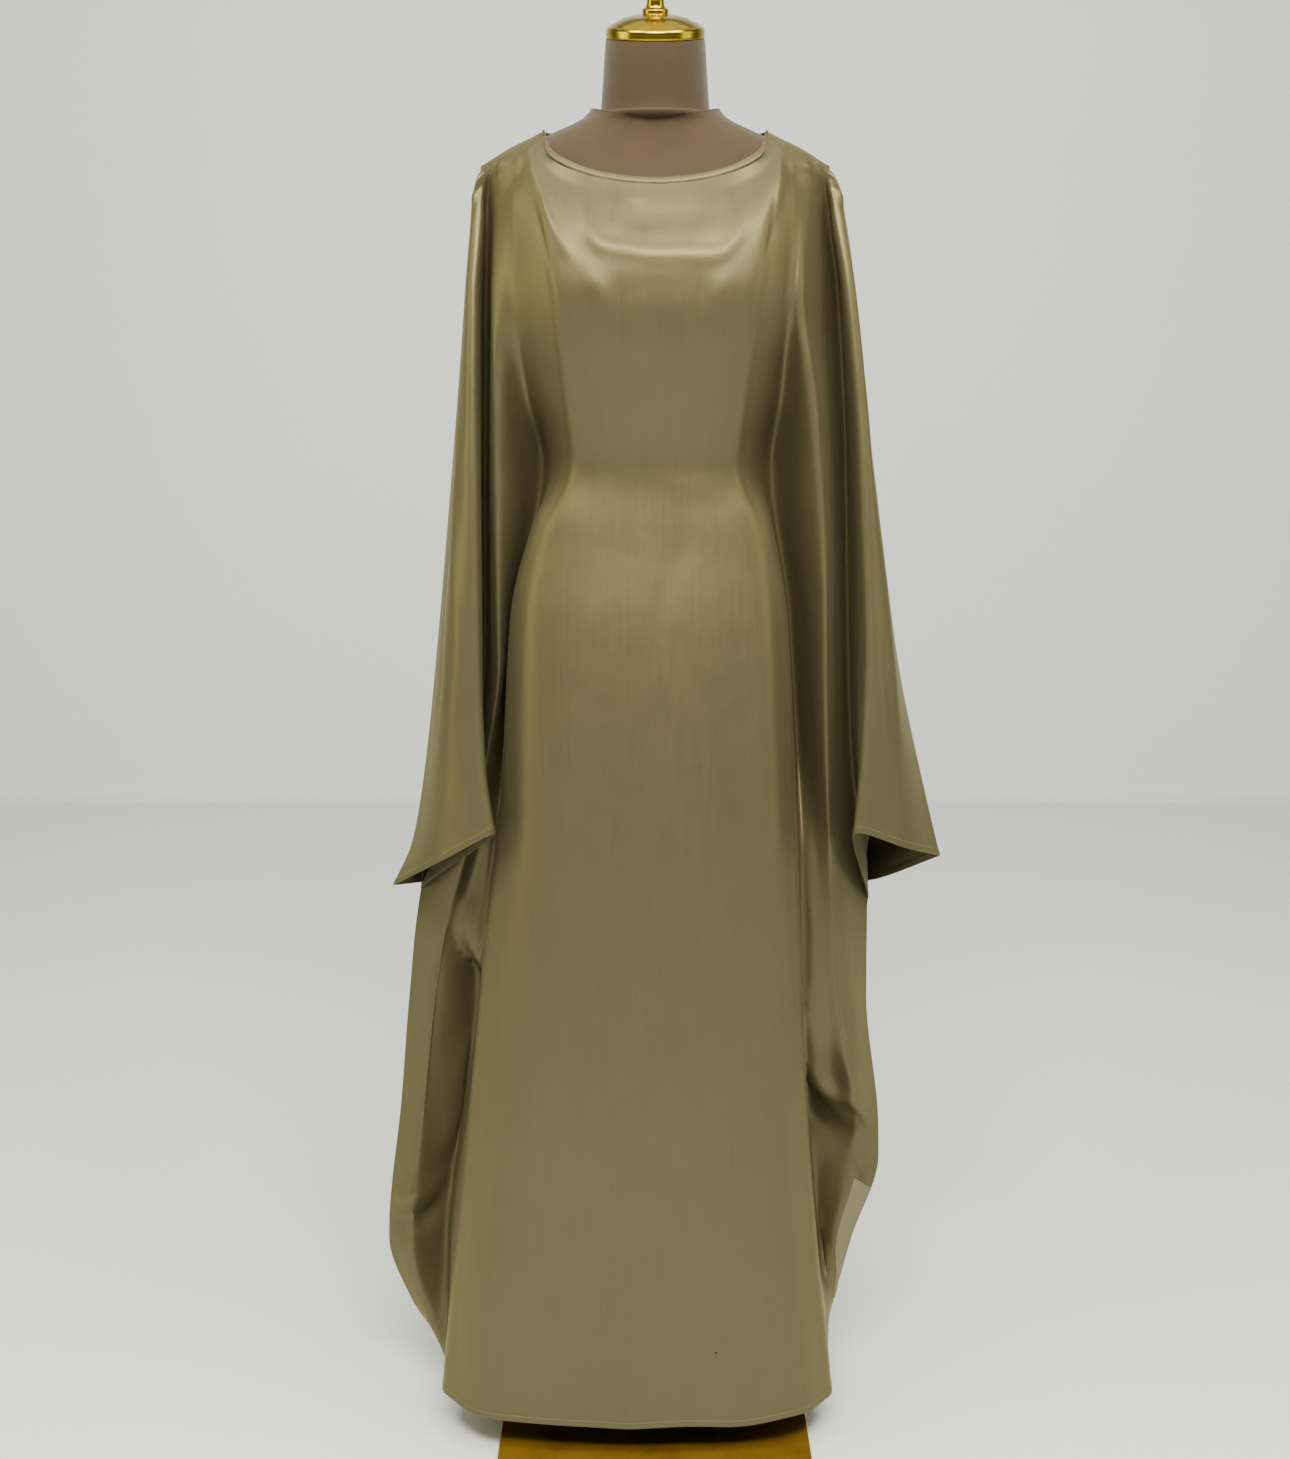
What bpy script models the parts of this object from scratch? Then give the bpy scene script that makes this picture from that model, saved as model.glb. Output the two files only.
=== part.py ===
"""A batwing kaftan robe of satin, worn by a limbless dress form on a pole and a square base.

Metres, +Z up, the front faces -Y. The origin is the middle of the base's underside, on the floor.
The front and the back are each cut in one with half of both sleeves. Each is a thin wall lofted
across its fold lines: a fold line runs from the top of the piece down to the hem.
"""

import math

import bmesh
import bpy
from mathutils import Vector
from mathutils.bvhtree import BVHTree

# Cloth
WALL = 0.002
SEAM_GAP = 0.0003
CLEAR_OF_FORM = 0.0021
REST_HEIGHT = 0.075  # how far below its edge the cloth takes to leave the form, at the neckline
REST_HEIGHT_AT_SHOULDER_END = 0.022
HEM_HEIGHT = 0.047

# Neckline: an oval seen from above, dipping at the front
NECK_HALF_WIDTH = 0.122
NECK_SIDE_HEIGHT = 1.4775
NECK_FRONT_DROP = 0.0540
NECK_BACK_DROP = 0.001
NECKLINE_LIFT = 0.0060
RIDGE_LIFT = 0.0110  # the same at the form's sides, so that the shoulder seam clears its ridge
BINDING_WIDTH = 0.0065
BINDING_THICK = 0.0026
BINDING_CLEARANCE = 0.0042  # from the form to the middle of the binding's free edge

# Shoulder seam
SHOULDER_OUT = 0.192
SHOULDER_HEIGHT = 1.4445
SHOULDER_ROUNDING = 0.09  # depth of the cloth over the square root of the drop from the seam

# Dress form
TORSO_BOTTOM = 0.770
TORSO_TOP = 1.4895
NECK_RADIUS = 0.0575
NECK_TOP_HEIGHT = 1.572
NECK_LEAN = 0.018
NECK_TILT = math.radians(12)
CAP_RADIUS = 0.0525
POLE_RADIUS = 0.0125
BASE_SIDE = 0.358
BASE_THICK = 0.010
COLLAR_RADIUS = 0.030
COLLAR_HEIGHT = 0.024

# Rows of the loft, as shares of the way from the top edge to the cuff's row, close over the shoulder
SHARES_ABOVE_CUFF = (
    0, 0.003, 0.009, 0.019, 0.034, 0.055, 0.082, 0.116, 0.157, 0.205,
    0.260, 0.322, 0.390, 0.462, 0.536, 0.612, 0.688, 0.762, 0.836, 0.908, 0.962, 1,
)  # fmt: skip
ROWS_ABOVE_CUFF = len(SHARES_ABOVE_CUFF) - 1
ROWS_BELOW_CUFF = 11

# Fold lines of a half, out from the centre: name, radius of its fold, spans on to the next line
FRONT_FOLDS = (
    ("centre", 0.0, 2),
    ("chest", 0.0, 2),
    ("breast", 0.0, 2),
    ("edge", 0.014, 1),
    ("valley", 0.006, 1),
    ("crest", 0.006, 1),
    ("slit", 0.0035, 1),
    ("sleeve_crest", 0.006, 2),
    ("sleeve_front", 0.0, 2),
    ("outer_seam", 0.0, 0),
)
BACK_FOLDS = (
    ("centre", 0.0, 2),
    ("blade", 0.0, 1),
    ("side_blade", 0.0, 2),
    ("edge", 0.012, 1),
    ("valley", 0.006, 1),
    ("crest", 0.007, 1),
    ("slit", 0.0035, 1),
    ("sleeve_crest", 0.007, 1),
    ("sleeve_front", 0.0, 1),
    ("outer_seam", 0.0, 0),
)
# Where the fold lines start: degrees round the neckline, shares of the shoulder seam
CHEST_TURN = 33
BREAST_TURN = 60
SHOULDER_SHARE = {
    "edge": 0.0,
    "valley": 0.30,
    "crest": 0.56,
    "slit": 0.74,
    "sleeve_crest": 0.86,
    "sleeve_front": 0.94,
}
# Heights of the fold lines at the cuff's row: front left, front right, back
KNEE_HEIGHT = {
    "body": (0.700, 0.700, 0.700),
    "edge": (0.700, 0.700, 0.700),
    "valley": (0.690, 0.690, 0.690),
    "crest": (0.665, 0.665, 0.665),
    "slit": (0.630, 0.612, None),
    "sleeve_crest": (0.725, 0.725, 0.628),
    "sleeve_front": (0.690, 0.705, 0.632),
}
FOLDS_SOFT_BY = 0.08  # share of the way to the cuff's row by which the folds are fully rounded
SOFTNESS_AT_SEAM_TOP = 0.5  # how far the slit's fold is rounded where the side seam starts
SLIT = 6  # the fold line that becomes the side seam below the cuff
SLIT_PARTING = 0.005  # how far the back's slit stands behind the side seam just above the cuff
SLIT_PARTED_BY = 0.03
SEAM_BLEND = 0.14  # height over which the back's slit comes round to the side seam
CUFF_LOW = 0.60
CUFF_HIGH = 0.76
SHOULDER = 3  # the first fold line that starts on the shoulder seam

# Centre lines of the cloth: height, depth
CENTRE_FRONT = (
    (1.429, -0.077),
    (1.400, -0.101),
    (1.350, -0.126),
    (1.310, -0.135),
    (1.270, -0.131),
    (1.200, -0.112),
    (1.120, -0.091),
    (1.050, -0.100),
    (0.950, -0.119),
    (0.800, -0.135),
    (0.500, -0.152),
    (HEM_HEIGHT, -0.168),
)
CENTRE_BACK = (
    (1.485, 0.055),
    (1.440, 0.082),
    (1.350, 0.103),
    (1.250, 0.097),
    (1.120, 0.083),
    (1.000, 0.116),
    (0.900, 0.132),
    (0.700, 0.136),
    (0.400, 0.146),
    (HEM_HEIGHT, 0.160),
)

# Outer seam from the shoulder down to the cuff's tip: height, distance out
LEFT_OUTER_SEAM = (
    (SHOULDER_HEIGHT, SHOULDER_OUT),
    (1.407, 0.1975),
    (1.301, 0.208),
    (1.115, 0.226),
    (0.901, 0.248),
    (0.785, 0.262),
    (0.691, 0.279),
    (0.637, 0.303),
)
RIGHT_OUTER_SEAM = (
    (SHOULDER_HEIGHT, SHOULDER_OUT),
    (1.415, 0.201),
    (1.349, 0.214),
    (1.214, 0.230),
    (1.052, 0.253),
    (0.894, 0.277),
    (0.738, 0.313),
    (0.672, 0.330),
)

# Fold lines of the front below the shoulder seam: height, distance out, depth
LEFT_EDGE = (
    (1.455, 0.133, -0.052),
    (1.400, 0.131, -0.082),
    (1.310, 0.122, -0.104),
    (1.200, 0.110, -0.078),
    (1.120, 0.104, -0.052),
    (1.064, 0.130, -0.066),
    (0.962, 0.157, -0.068),
    (0.810, 0.167, -0.070),
    (0.721, 0.173, -0.072),
    (0.540, 0.194, -0.077),
    (0.318, 0.217, -0.084),
    (HEM_HEIGHT, 0.247, -0.092),
)
LEFT_VALLEY = (
    (1.430, 0.147, -0.046),
    (1.400, 0.150, -0.064),
    (1.310, 0.150, -0.077),
    (1.200, 0.140, -0.040),
    (1.120, 0.126, 0.004),
    (0.962, 0.157, 0.008),
    (0.800, 0.171, 0.014),
    (0.725, 0.179, 0.018),
    (0.600, 0.197, 0.028),
    (0.400, 0.222, 0.032),
    (0.180, 0.250, 0.012),
    (HEM_HEIGHT, 0.2480, -0.050),
)
LEFT_CREST = (
    (1.420, 0.168, -0.026),
    (1.400, 0.168, -0.038),
    (1.300, 0.173, -0.060),
    (1.120, 0.172, -0.066),
    (0.911, 0.172, -0.060),
    (0.800, 0.188, -0.036),
    (0.680, 0.216, -0.022),
    (0.600, 0.238, 0.000),
    (0.500, 0.256, 0.002),
    (0.400, 0.268, 0.000),
    (0.193, 0.290, -0.012),
    (0.100, 0.270, -0.016),
    (HEM_HEIGHT, 0.2485, -0.024),
)
LEFT_SLIT = (
    (1.420, 0.181, -0.010),
    (1.380, 0.183, 0.000),
    (1.300, 0.186, 0.012),
    (1.120, 0.190, 0.018),
    (0.900, 0.194, 0.022),
    (0.800, 0.206, 0.024),
    (0.720, 0.234, 0.018),
    (0.660, 0.258, 0.006),
    (0.630, 0.272, 0.012),
    (0.497, 0.289, 0.012),
    (0.373, 0.301, 0.014),
    (0.193, 0.320, 0.012),
    (0.118, 0.295, 0.008),
    (HEM_HEIGHT, 0.249, 0.004),
)
LEFT_SLEEVE_CREST = (
    (1.420, 0.1875, -0.016),
    (1.380, 0.1895, -0.034),
    (1.300, 0.1945, -0.056),
    (1.120, 0.195, -0.080),
    (0.915, 0.193, -0.092),
    (0.800, 0.188, -0.100),
    (0.725, 0.177, -0.110),
)
LEFT_SLEEVE_FRONT = (
    (1.400, 0.197, -0.020),
    (1.300, 0.2055, -0.036),
    (1.120, 0.215, -0.058),
    (0.900, 0.228, -0.074),
    (0.690, 0.236, -0.090),
)
RIGHT_EDGE = (
    (1.455, 0.133, -0.052),
    (1.400, 0.131, -0.082),
    (1.310, 0.124, -0.106),
    (1.200, 0.110, -0.078),
    (1.120, 0.104, -0.052),
    (1.064, 0.123, -0.066),
    (0.954, 0.143, -0.070),
    (0.830, 0.151, -0.072),
    (0.661, 0.159, -0.076),
    (0.441, 0.170, -0.082),
    (0.255, 0.184, -0.088),
    (HEM_HEIGHT, 0.207, -0.092),
)
RIGHT_VALLEY = (
    (1.430, 0.145, -0.048),
    (1.400, 0.147, -0.066),
    (1.310, 0.142, -0.086),
    (1.200, 0.138, -0.038),
    (1.120, 0.130, 0.002),
    (0.954, 0.152, 0.004),
    (0.725, 0.166, -0.004),
    (0.500, 0.172, -0.016),
    (0.380, 0.182, 0.012),
    (0.200, 0.198, 0.012),
    (0.130, 0.2035, -0.036),
    (HEM_HEIGHT, 0.2080, -0.050),
)
RIGHT_CREST = (
    (1.420, 0.164, -0.030),
    (1.400, 0.162, -0.048),
    (1.300, 0.155, -0.082),
    (1.199, 0.168, -0.082),
    (1.014, 0.185, -0.074),
    (0.830, 0.190, -0.068),
    (0.700, 0.196, -0.058),
    (0.550, 0.208, -0.052),
    (0.450, 0.220, -0.046),
    (0.390, 0.232, -0.030),
    (0.330, 0.238, 0.004),
    (0.200, 0.219, 0.000),
    (0.130, 0.2105, -0.015),
    (HEM_HEIGHT, 0.2085, -0.024),
)
RIGHT_SLIT = (
    (1.420, 0.184, -0.010),
    (1.380, 0.190, 0.000),
    (1.314, 0.200, 0.006),
    (1.120, 0.213, 0.014),
    (0.950, 0.219, 0.018),
    (0.800, 0.226, 0.022),
    (0.645, 0.246, 0.018),
    (0.612, 0.250, 0.026),
    (0.497, 0.251, 0.022),
    (0.340, 0.268, 0.016),
    (0.298, 0.269, 0.014),
    (0.195, 0.238, 0.010),
    (0.130, 0.2215, 0.007),
    (0.085, 0.2110, 0.004),
    (HEM_HEIGHT, 0.209, 0.004),
)
RIGHT_SLEEVE_CREST = (
    (1.420, 0.190, -0.016),
    (1.380, 0.196, -0.032),
    (1.314, 0.207, -0.048),
    (1.120, 0.225, -0.070),
    (0.930, 0.233, -0.084),
    (0.812, 0.229, -0.096),
    (0.727, 0.221, -0.106),
)
RIGHT_SLEEVE_FRONT = (
    (1.400, 0.202, -0.018),
    (1.300, 0.218, -0.030),
    (1.120, 0.238, -0.050),
    (0.900, 0.262, -0.066),
    (0.705, 0.274, -0.086),
)
# Fold lines of the back, the same on both sides but for their reach:
# height, share of the way from the body to the outer or side seam, depth
BACK_EDGE = (
    (1.440, 0.00, 0.052),
    (1.400, 0.00, 0.076),
    (1.250, 0.00, 0.082),
    (1.120, 0.00, 0.060),
    (0.950, 0.00, 0.092),
    (0.600, 0.00, 0.104),
    (HEM_HEIGHT, 0.00, 0.096),
)
BACK_VALLEY = (
    (1.420, 0.28, 0.052),
    (1.250, 0.24, 0.062),
    (1.120, 0.20, 0.024),
    (0.700, 0.20, 0.050),
    (0.300, 0.34, 0.058),
    (HEM_HEIGHT, 0.30, 0.066),
)
BACK_CREST = (
    (1.420, 0.52, 0.040),
    (1.250, 0.48, 0.078),
    (1.000, 0.44, 0.092),
    (0.700, 0.42, 0.094),
    (0.300, 0.62, 0.064),
    (HEM_HEIGHT, 0.60, 0.040),
)
BACK_SLIT = (
    (1.420, 0.70, 0.024),
    (1.250, 0.64, 0.036),
    (1.000, 0.60, 0.036),
    (0.760, 0.66, 0.040),
)
BACK_SLEEVE_CREST = (
    (1.420, 0.84, 0.022),
    (1.200, 0.80, 0.060),
    (0.900, 0.76, 0.082),
    (0.640, 0.68, 0.098),
)
BACK_SLEEVE_FRONT = (
    (1.420, 0.94, 0.012),
    (1.200, 0.93, 0.036),
    (0.900, 0.92, 0.050),
    (0.640, 0.96, 0.058),
)
BACK_BODY_OUT = (
    (1.400, 0.130),
    (1.250, 0.112),
    (1.120, 0.104),
    (0.950, 0.146),
    (0.600, 0.168),
    (HEM_HEIGHT, 0.205),
)

# Sections of the dress form: height, half width, front depth, back depth, squareness
TORSO = (
    (TORSO_BOTTOM, 0.124, -0.078, 0.098, 2.3),
    (0.800, 0.136, -0.092, 0.112, 2.3),
    (0.900, 0.142, -0.100, 0.122, 2.3),
    (1.000, 0.128, -0.090, 0.104, 2.2),
    (1.070, 0.107, -0.079, 0.080, 2.1),
    (1.120, 0.099, -0.074, 0.070, 2.1),
    (1.180, 0.106, -0.084, 0.074, 2.1),
    (1.240, 0.121, -0.108, 0.082, 2.2),
    (1.300, 0.136, -0.127, 0.088, 2.2),
    (1.350, 0.150, -0.118, 0.090, 2.3),
    (1.390, 0.166, -0.098, 0.084, 2.3),
    (1.415, 0.177, -0.083, 0.076, 2.2),
    (1.432, 0.181, -0.074, 0.068, 2.0),
    (1.445, 0.176, -0.068, 0.064, 2.0),
    (1.460, 0.148, -0.064, 0.062, 2.0),
    (1.474, 0.116, -0.062, 0.061, 2.0),
    (TORSO_TOP, 0.080, -0.061, 0.060, 2.0),
)


def along(table, height, column=1):
    """The value of one column of a table at a height, on a smooth curve that never overshoots."""
    rows = sorted(table)
    heights = [row[0] for row in rows]
    values = [row[column] for row in rows]
    if height <= heights[0]:
        return values[0]
    if height >= heights[-1]:
        return values[-1]
    slopes = [
        (values[i + 1] - values[i]) / (heights[i + 1] - heights[i])
        for i in range(len(rows) - 1)
    ]
    span = next(i for i in range(len(slopes)) if height <= heights[i + 1])

    def tangent(i):
        if i == 0 or i == len(slopes):
            return slopes[min(i, len(slopes) - 1)]
        before, after = slopes[i - 1], slopes[i]
        if before * after <= 0:
            return 0.0
        return 2 * before * after / (before + after)

    width = heights[span + 1] - heights[span]
    t = (height - heights[span]) / width
    start = (1 + 2 * t) * (1 - t) ** 2 * values[span] + t * (1 - t) ** 2 * width * tangent(span)
    end = t * t * (3 - 2 * t) * values[span + 1] + t * t * (t - 1) * width * tangent(span + 1)
    return start + end


def smooth_step(value):
    value = min(1.0, max(0.0, value))
    return value * value * (3 - 2 * value)


def depth_over_form(out, height, facing):
    """Depth at a distance out of the oval that the cloth rests on, in front of the form or behind."""
    squareness = along(TORSO, height, 4)
    share = min(1.0, out / (along(TORSO, height) + RIDGE_LIFT))
    reach = abs(along(TORSO, height, 2 if facing < 0 else 3)) + NECKLINE_LIFT
    return facing * reach * (1 - share**squareness) ** (1 / squareness)


def neckline(turn, facing):
    """Point of the neckline, turn degrees from its middle towards one side, just clear of the form."""
    angle = math.radians(turn)
    drop = NECK_FRONT_DROP if facing < 0 else NECK_BACK_DROP
    height = NECK_SIDE_HEIGHT - drop * math.cos(angle)
    out = NECK_HALF_WIDTH * math.sin(angle)
    depth = depth_over_form(out, height, facing)
    return Vector((out, depth, height))


def on_shoulder_seam(share):
    """Point of the shoulder seam, from the neckline at 0 to the shoulder's end at 1."""
    out = NECK_HALF_WIDTH + share * (SHOULDER_OUT - NECK_HALF_WIDTH)
    height = NECK_SIDE_HEIGHT + share * (SHOULDER_HEIGHT - NECK_SIDE_HEIGHT)
    return Vector((out, 0.0, height))


class FoldLine:
    """A line down the cloth: a start on the top edge, a knee at the cuff's row and an end at the hem."""

    def __init__(self, top, knee_height, facing, place):
        self.top = top
        along_shoulder = max(0.0, (top.x - NECK_HALF_WIDTH) / (SHOULDER_OUT - NECK_HALF_WIDTH))
        self.rest_height = REST_HEIGHT + along_shoulder * (REST_HEIGHT_AT_SHOULDER_END - REST_HEIGHT)
        self.knee_height = knee_height
        self.facing = facing
        self.place = place

    def at(self, down):
        """Point at a row, 0 at the top edge, 1 at the cuff's row and 2 at the hem."""
        if down <= 1:
            height = self.top.z + down * (self.knee_height - self.top.z)
        else:
            height = self.knee_height + (down - 1) * (HEM_HEIGHT - self.knee_height)
        out, depth = self.place(height)
        leave = smooth_step((self.top.z - height) / self.rest_height)
        spread = smooth_step((self.top.z - height) / REST_HEIGHT_AT_SHOULDER_END)
        out = self.top.x + (spread if self.top.y == 0 else leave) * (out - self.top.x)
        if not self.facing:
            return Vector((out, depth, height))
        resting = depth_over_form(out, height, self.facing)
        if self.top.y == 0:
            rounding = SHOULDER_ROUNDING * math.sqrt(self.top.z - height)
            resting = self.facing * max(rounding, min(abs(resting), 3 * rounding))
        return Vector((out, resting + leave * (depth - resting), height))


def table_line(top, knee_height, facing, table):
    return FoldLine(top, knee_height, facing, lambda z: (along(table, z), along(table, z, 2)))


def seam_line(top, table):
    return FoldLine(top, table[-1][0], 0, lambda z: (along(table, z), 0.0))


def front_lines(side):
    """Fold lines of one half of the front, from the centre line out to the outer seam."""
    column = 0 if side < 0 else 1
    edge = (LEFT_EDGE, RIGHT_EDGE)[column]
    tables = {
        "edge": edge,
        "valley": (LEFT_VALLEY, RIGHT_VALLEY)[column],
        "crest": (LEFT_CREST, RIGHT_CREST)[column],
        "slit": (LEFT_SLIT, RIGHT_SLIT)[column],
        "sleeve_crest": (LEFT_SLEEVE_CREST, RIGHT_SLEEVE_CREST)[column],
        "sleeve_front": (LEFT_SLEEVE_FRONT, RIGHT_SLEEVE_FRONT)[column],
    }

    def chest(share, bow):
        """A line between the centre and the body's edge, on a bowed front."""
        return lambda z: (
            share * along(edge, z),
            along(CENTRE_FRONT, z) + bow * (along(edge, z, 2) - along(CENTRE_FRONT, z)),
        )

    body = KNEE_HEIGHT["body"][column]
    lines = [
        FoldLine(neckline(0, -1), body, -1, chest(0.0, 0.0)),
        FoldLine(neckline(CHEST_TURN, -1), body, -1, chest(0.48, 0.08)),
        FoldLine(neckline(BREAST_TURN, -1), body, -1, chest(0.82, 0.36)),
    ]
    for name, table in tables.items():
        top = on_shoulder_seam(SHOULDER_SHARE[name])
        lines.append(table_line(top, KNEE_HEIGHT[name][column], -1, table))
    lines.append(seam_line(on_shoulder_seam(1), (LEFT_OUTER_SEAM, RIGHT_OUTER_SEAM)[column]))
    return lines


def back_lines(side):
    """Fold lines of one half of the back, from the centre line out to the outer seam."""
    column = 0 if side < 0 else 1
    outer = (LEFT_OUTER_SEAM, RIGHT_OUTER_SEAM)[column]
    slit = (LEFT_SLIT, RIGHT_SLIT)[column]
    seam_top = KNEE_HEIGHT["slit"][column]

    def reach(z):
        """The outer seam above the cuff, the side seam below it, and a blend between."""
        share = smooth_step((z - CUFF_LOW) / (CUFF_HIGH - CUFF_LOW))
        sleeve = along(outer, max(z, outer[-1][0]))
        return share * sleeve + (1 - share) * along(slit, min(z, seam_top))

    def fold(table):
        def place(z):
            body = along(BACK_BODY_OUT, z)
            return body + along(table, z) * (reach(z) - body), along(table, z, 2)

        return place

    def blade(share, bow):
        """A line between the centre and the body's edge, on a bowed back."""
        return lambda z: (
            share * along(BACK_BODY_OUT, z),
            along(CENTRE_BACK, z) + bow * (along(BACK_EDGE, z, 2) - along(CENTRE_BACK, z)),
        )

    def side_seam(z):
        """The back's slit, which turns into the side seam where the front's does."""
        if z <= seam_top:
            return along(slit, z), along(slit, z, 2)
        share = smooth_step((z - seam_top) / SEAM_BLEND)
        out, depth = fold(BACK_SLIT)(z)
        seam_out, seam_depth = along(slit, seam_top), along(slit, seam_top, 2)
        seam_depth += SLIT_PARTING * min(1.0, (z - seam_top) / SLIT_PARTED_BY)
        return seam_out + share * (out - seam_out), seam_depth + share * (depth - seam_depth)

    body = KNEE_HEIGHT["body"][2]
    lines = [
        FoldLine(neckline(0, 1), body, 1, blade(0.0, 0.0)),
        FoldLine(neckline(CHEST_TURN, 1), body, 1, blade(0.48, 0.08)),
        FoldLine(neckline(BREAST_TURN, 1), body, 1, blade(0.82, 0.36)),
    ]
    places = {
        "edge": fold(BACK_EDGE),
        "valley": fold(BACK_VALLEY),
        "crest": fold(BACK_CREST),
        "slit": side_seam,
        "sleeve_crest": fold(BACK_SLEEVE_CREST),
        "sleeve_front": fold(BACK_SLEEVE_FRONT),
    }
    for name, place in places.items():
        knee = KNEE_HEIGHT[name][2] or seam_top
        lines.append(FoldLine(on_shoulder_seam(SHOULDER_SHARE[name]), knee, 1, place))
    lines.append(seam_line(on_shoulder_seam(1), outer))
    return lines


def spline(a, b, c, d, t):
    """Point between b and c on a centripetal curve through four points."""
    ab = max(1e-6, (b - a).length) ** 0.5
    bc = max(1e-6, (c - b).length) ** 0.5
    cd = max(1e-6, (d - c).length) ** 0.5
    into = (c - b) - bc * ((c - a) / (ab + bc) - (b - a) / ab)
    out_of = (c - b) - bc * ((d - b) / (bc + cd) - (d - c) / cd)
    square, cube = t * t, t * t * t
    return (
        (2 * cube - 3 * square + 1) * b
        + (cube - 2 * square + t) * into
        + (3 * square - 2 * cube) * c
        + (cube - square) * out_of
    )


def rounded(before, point, after, radius, ease):
    """Three points of a fold of this radius, on its flanks and tip: a corner at ease 0, soft at 1."""
    back, on = before - point, after - point
    radius = min(radius, 0.4 * back.length, 0.4 * on.length)
    to_back, to_on = back.normalized(), on.normalized()
    across = (to_on - to_back).normalized()
    sunk = point + (to_back + to_on) * (0.35 * radius)
    flank_back = (point + to_back * radius).lerp(sunk - across * radius, ease)
    flank_on = (point + to_on * radius).lerp(sunk + across * radius, ease)
    return [flank_back, point, flank_on]


def half_section(lines, folds, down, last):
    """Points of one half of a row, from the centre line to fold line number last."""
    tips = [line.at(down) for line in lines[: last + 1]]
    ease = min(1.0, down / FOLDS_SOFT_BY)
    knots, spans = [tips[0]], [folds[0][2]]
    for i in range(1, last + 1):
        _, radius, span = folds[i]
        if not radius:
            knots.append(tips[i])
            spans.append(span)
        elif i < last:
            softness = SOFTNESS_AT_SEAM_TOP if i == SLIT and down == 1 else ease
            knots += rounded(tips[i - 1], tips[i], tips[i + 1], radius, softness)
            spans += [1, 1, span]
        else:
            flank = tips[i].lerp(tips[i - 1], min(0.4, 2 * radius / (tips[i] - tips[i - 1]).length))
            knots += [flank, tips[i]]
            spans += [1, 0]
    mirrored = Vector((-knots[1].x, knots[1].y, knots[1].z))
    padded = [mirrored, *knots, knots[-1] + 0.4 * (knots[-1] - knots[-2])]
    points = []
    for i in range(len(knots) - 1):
        for step in range(spans[i]):
            points.append(spline(*padded[i : i + 4], step / spans[i]))
    return [*points, knots[-1]]


def columns_to(folds, last):
    """Columns between the centre line and the tip of fold line number last."""
    rounding = sum(2 for _, radius, _ in folds[1:last] if radius)
    return sum(span for _, _, span in folds[:last]) + rounding + (1 if folds[last][1] else 0)


def sheet_points(make_lines, folds, facing, form_tree):
    """Mid surface of a panel, (row, column) to point; its keys sewn edge to edge; those lapped."""
    left, right = make_lines(-1), make_lines(1)
    below = [1 + (i + 1) / ROWS_BELOW_CUFF for i in range(ROWS_BELOW_CUFF)]
    outermost = len(folds) - 1
    middle = columns_to(folds, outermost)
    edge_to_edge = Vector((0, facing * SEAM_GAP / 2, 0))
    face_to_face = Vector((0, facing * (SEAM_GAP + WALL) / 2, 0))
    points, sewn, lapped = {}, set(), set()
    for i, down in enumerate((*SHARES_ABOVE_CUFF, *below)):
        last = SLIT if down > 1 else outermost
        for side, lines in ((-1, left), (1, right)):
            half = half_section(lines, folds, down, last)
            outer = {} if last == SLIT else {len(half) - 1}
            if i == 0:
                outer = range(columns_to(folds, SHOULDER), len(half))
            for j, point in enumerate(half):
                key = (i, middle + side * j)
                place = Vector((side * point.x, point.y, point.z))
                if j in outer:
                    sewn.add(key)
                    points[key] = place + edge_to_edge
                elif i >= ROWS_ABOVE_CUFF and j == columns_to(folds, SLIT):
                    points[key] = place + face_to_face
                    lapped.add(key)
                else:
                    points[key] = rest_on(form_tree, place, WALL / 2 + CLEAR_OF_FORM)
    return points, sewn, lapped


def grid_triangles(points):
    """Triangles of the loft, which narrows below the cuffs, each quad cut along its shorter way."""
    triangles = []
    for i, j in points:
        a, b, c, d = (i, j), (i + 1, j), (i + 1, j + 1), (i, j + 1)
        if not all(corner in points for corner in (b, c, d)):
            continue
        if (points[a] - points[c]).length < (points[b] - points[d]).length:
            triangles += [(a, b, c), (a, c, d)]
        else:
            triangles += [(a, b, d), (b, c, d)]
    return triangles


def seam_normals(points, sewn, middle):
    """Normals along the seams, square to them and to Y, so that both panels meet edge to edge."""
    turned_out = {}
    for side in (-1, 1):
        path = [key for key in sewn if (key[1] - middle) * side > 0]
        path.sort(key=lambda key: (key[0], (key[1] - middle) * side))
        for i, key in enumerate(path):
            seam = points[path[min(len(path) - 1, i + 1)]] - points[path[max(0, i - 1)]]
            turned_out[key] = Vector((-side * seam.z, 0, side * seam.x))
    return turned_out


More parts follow.
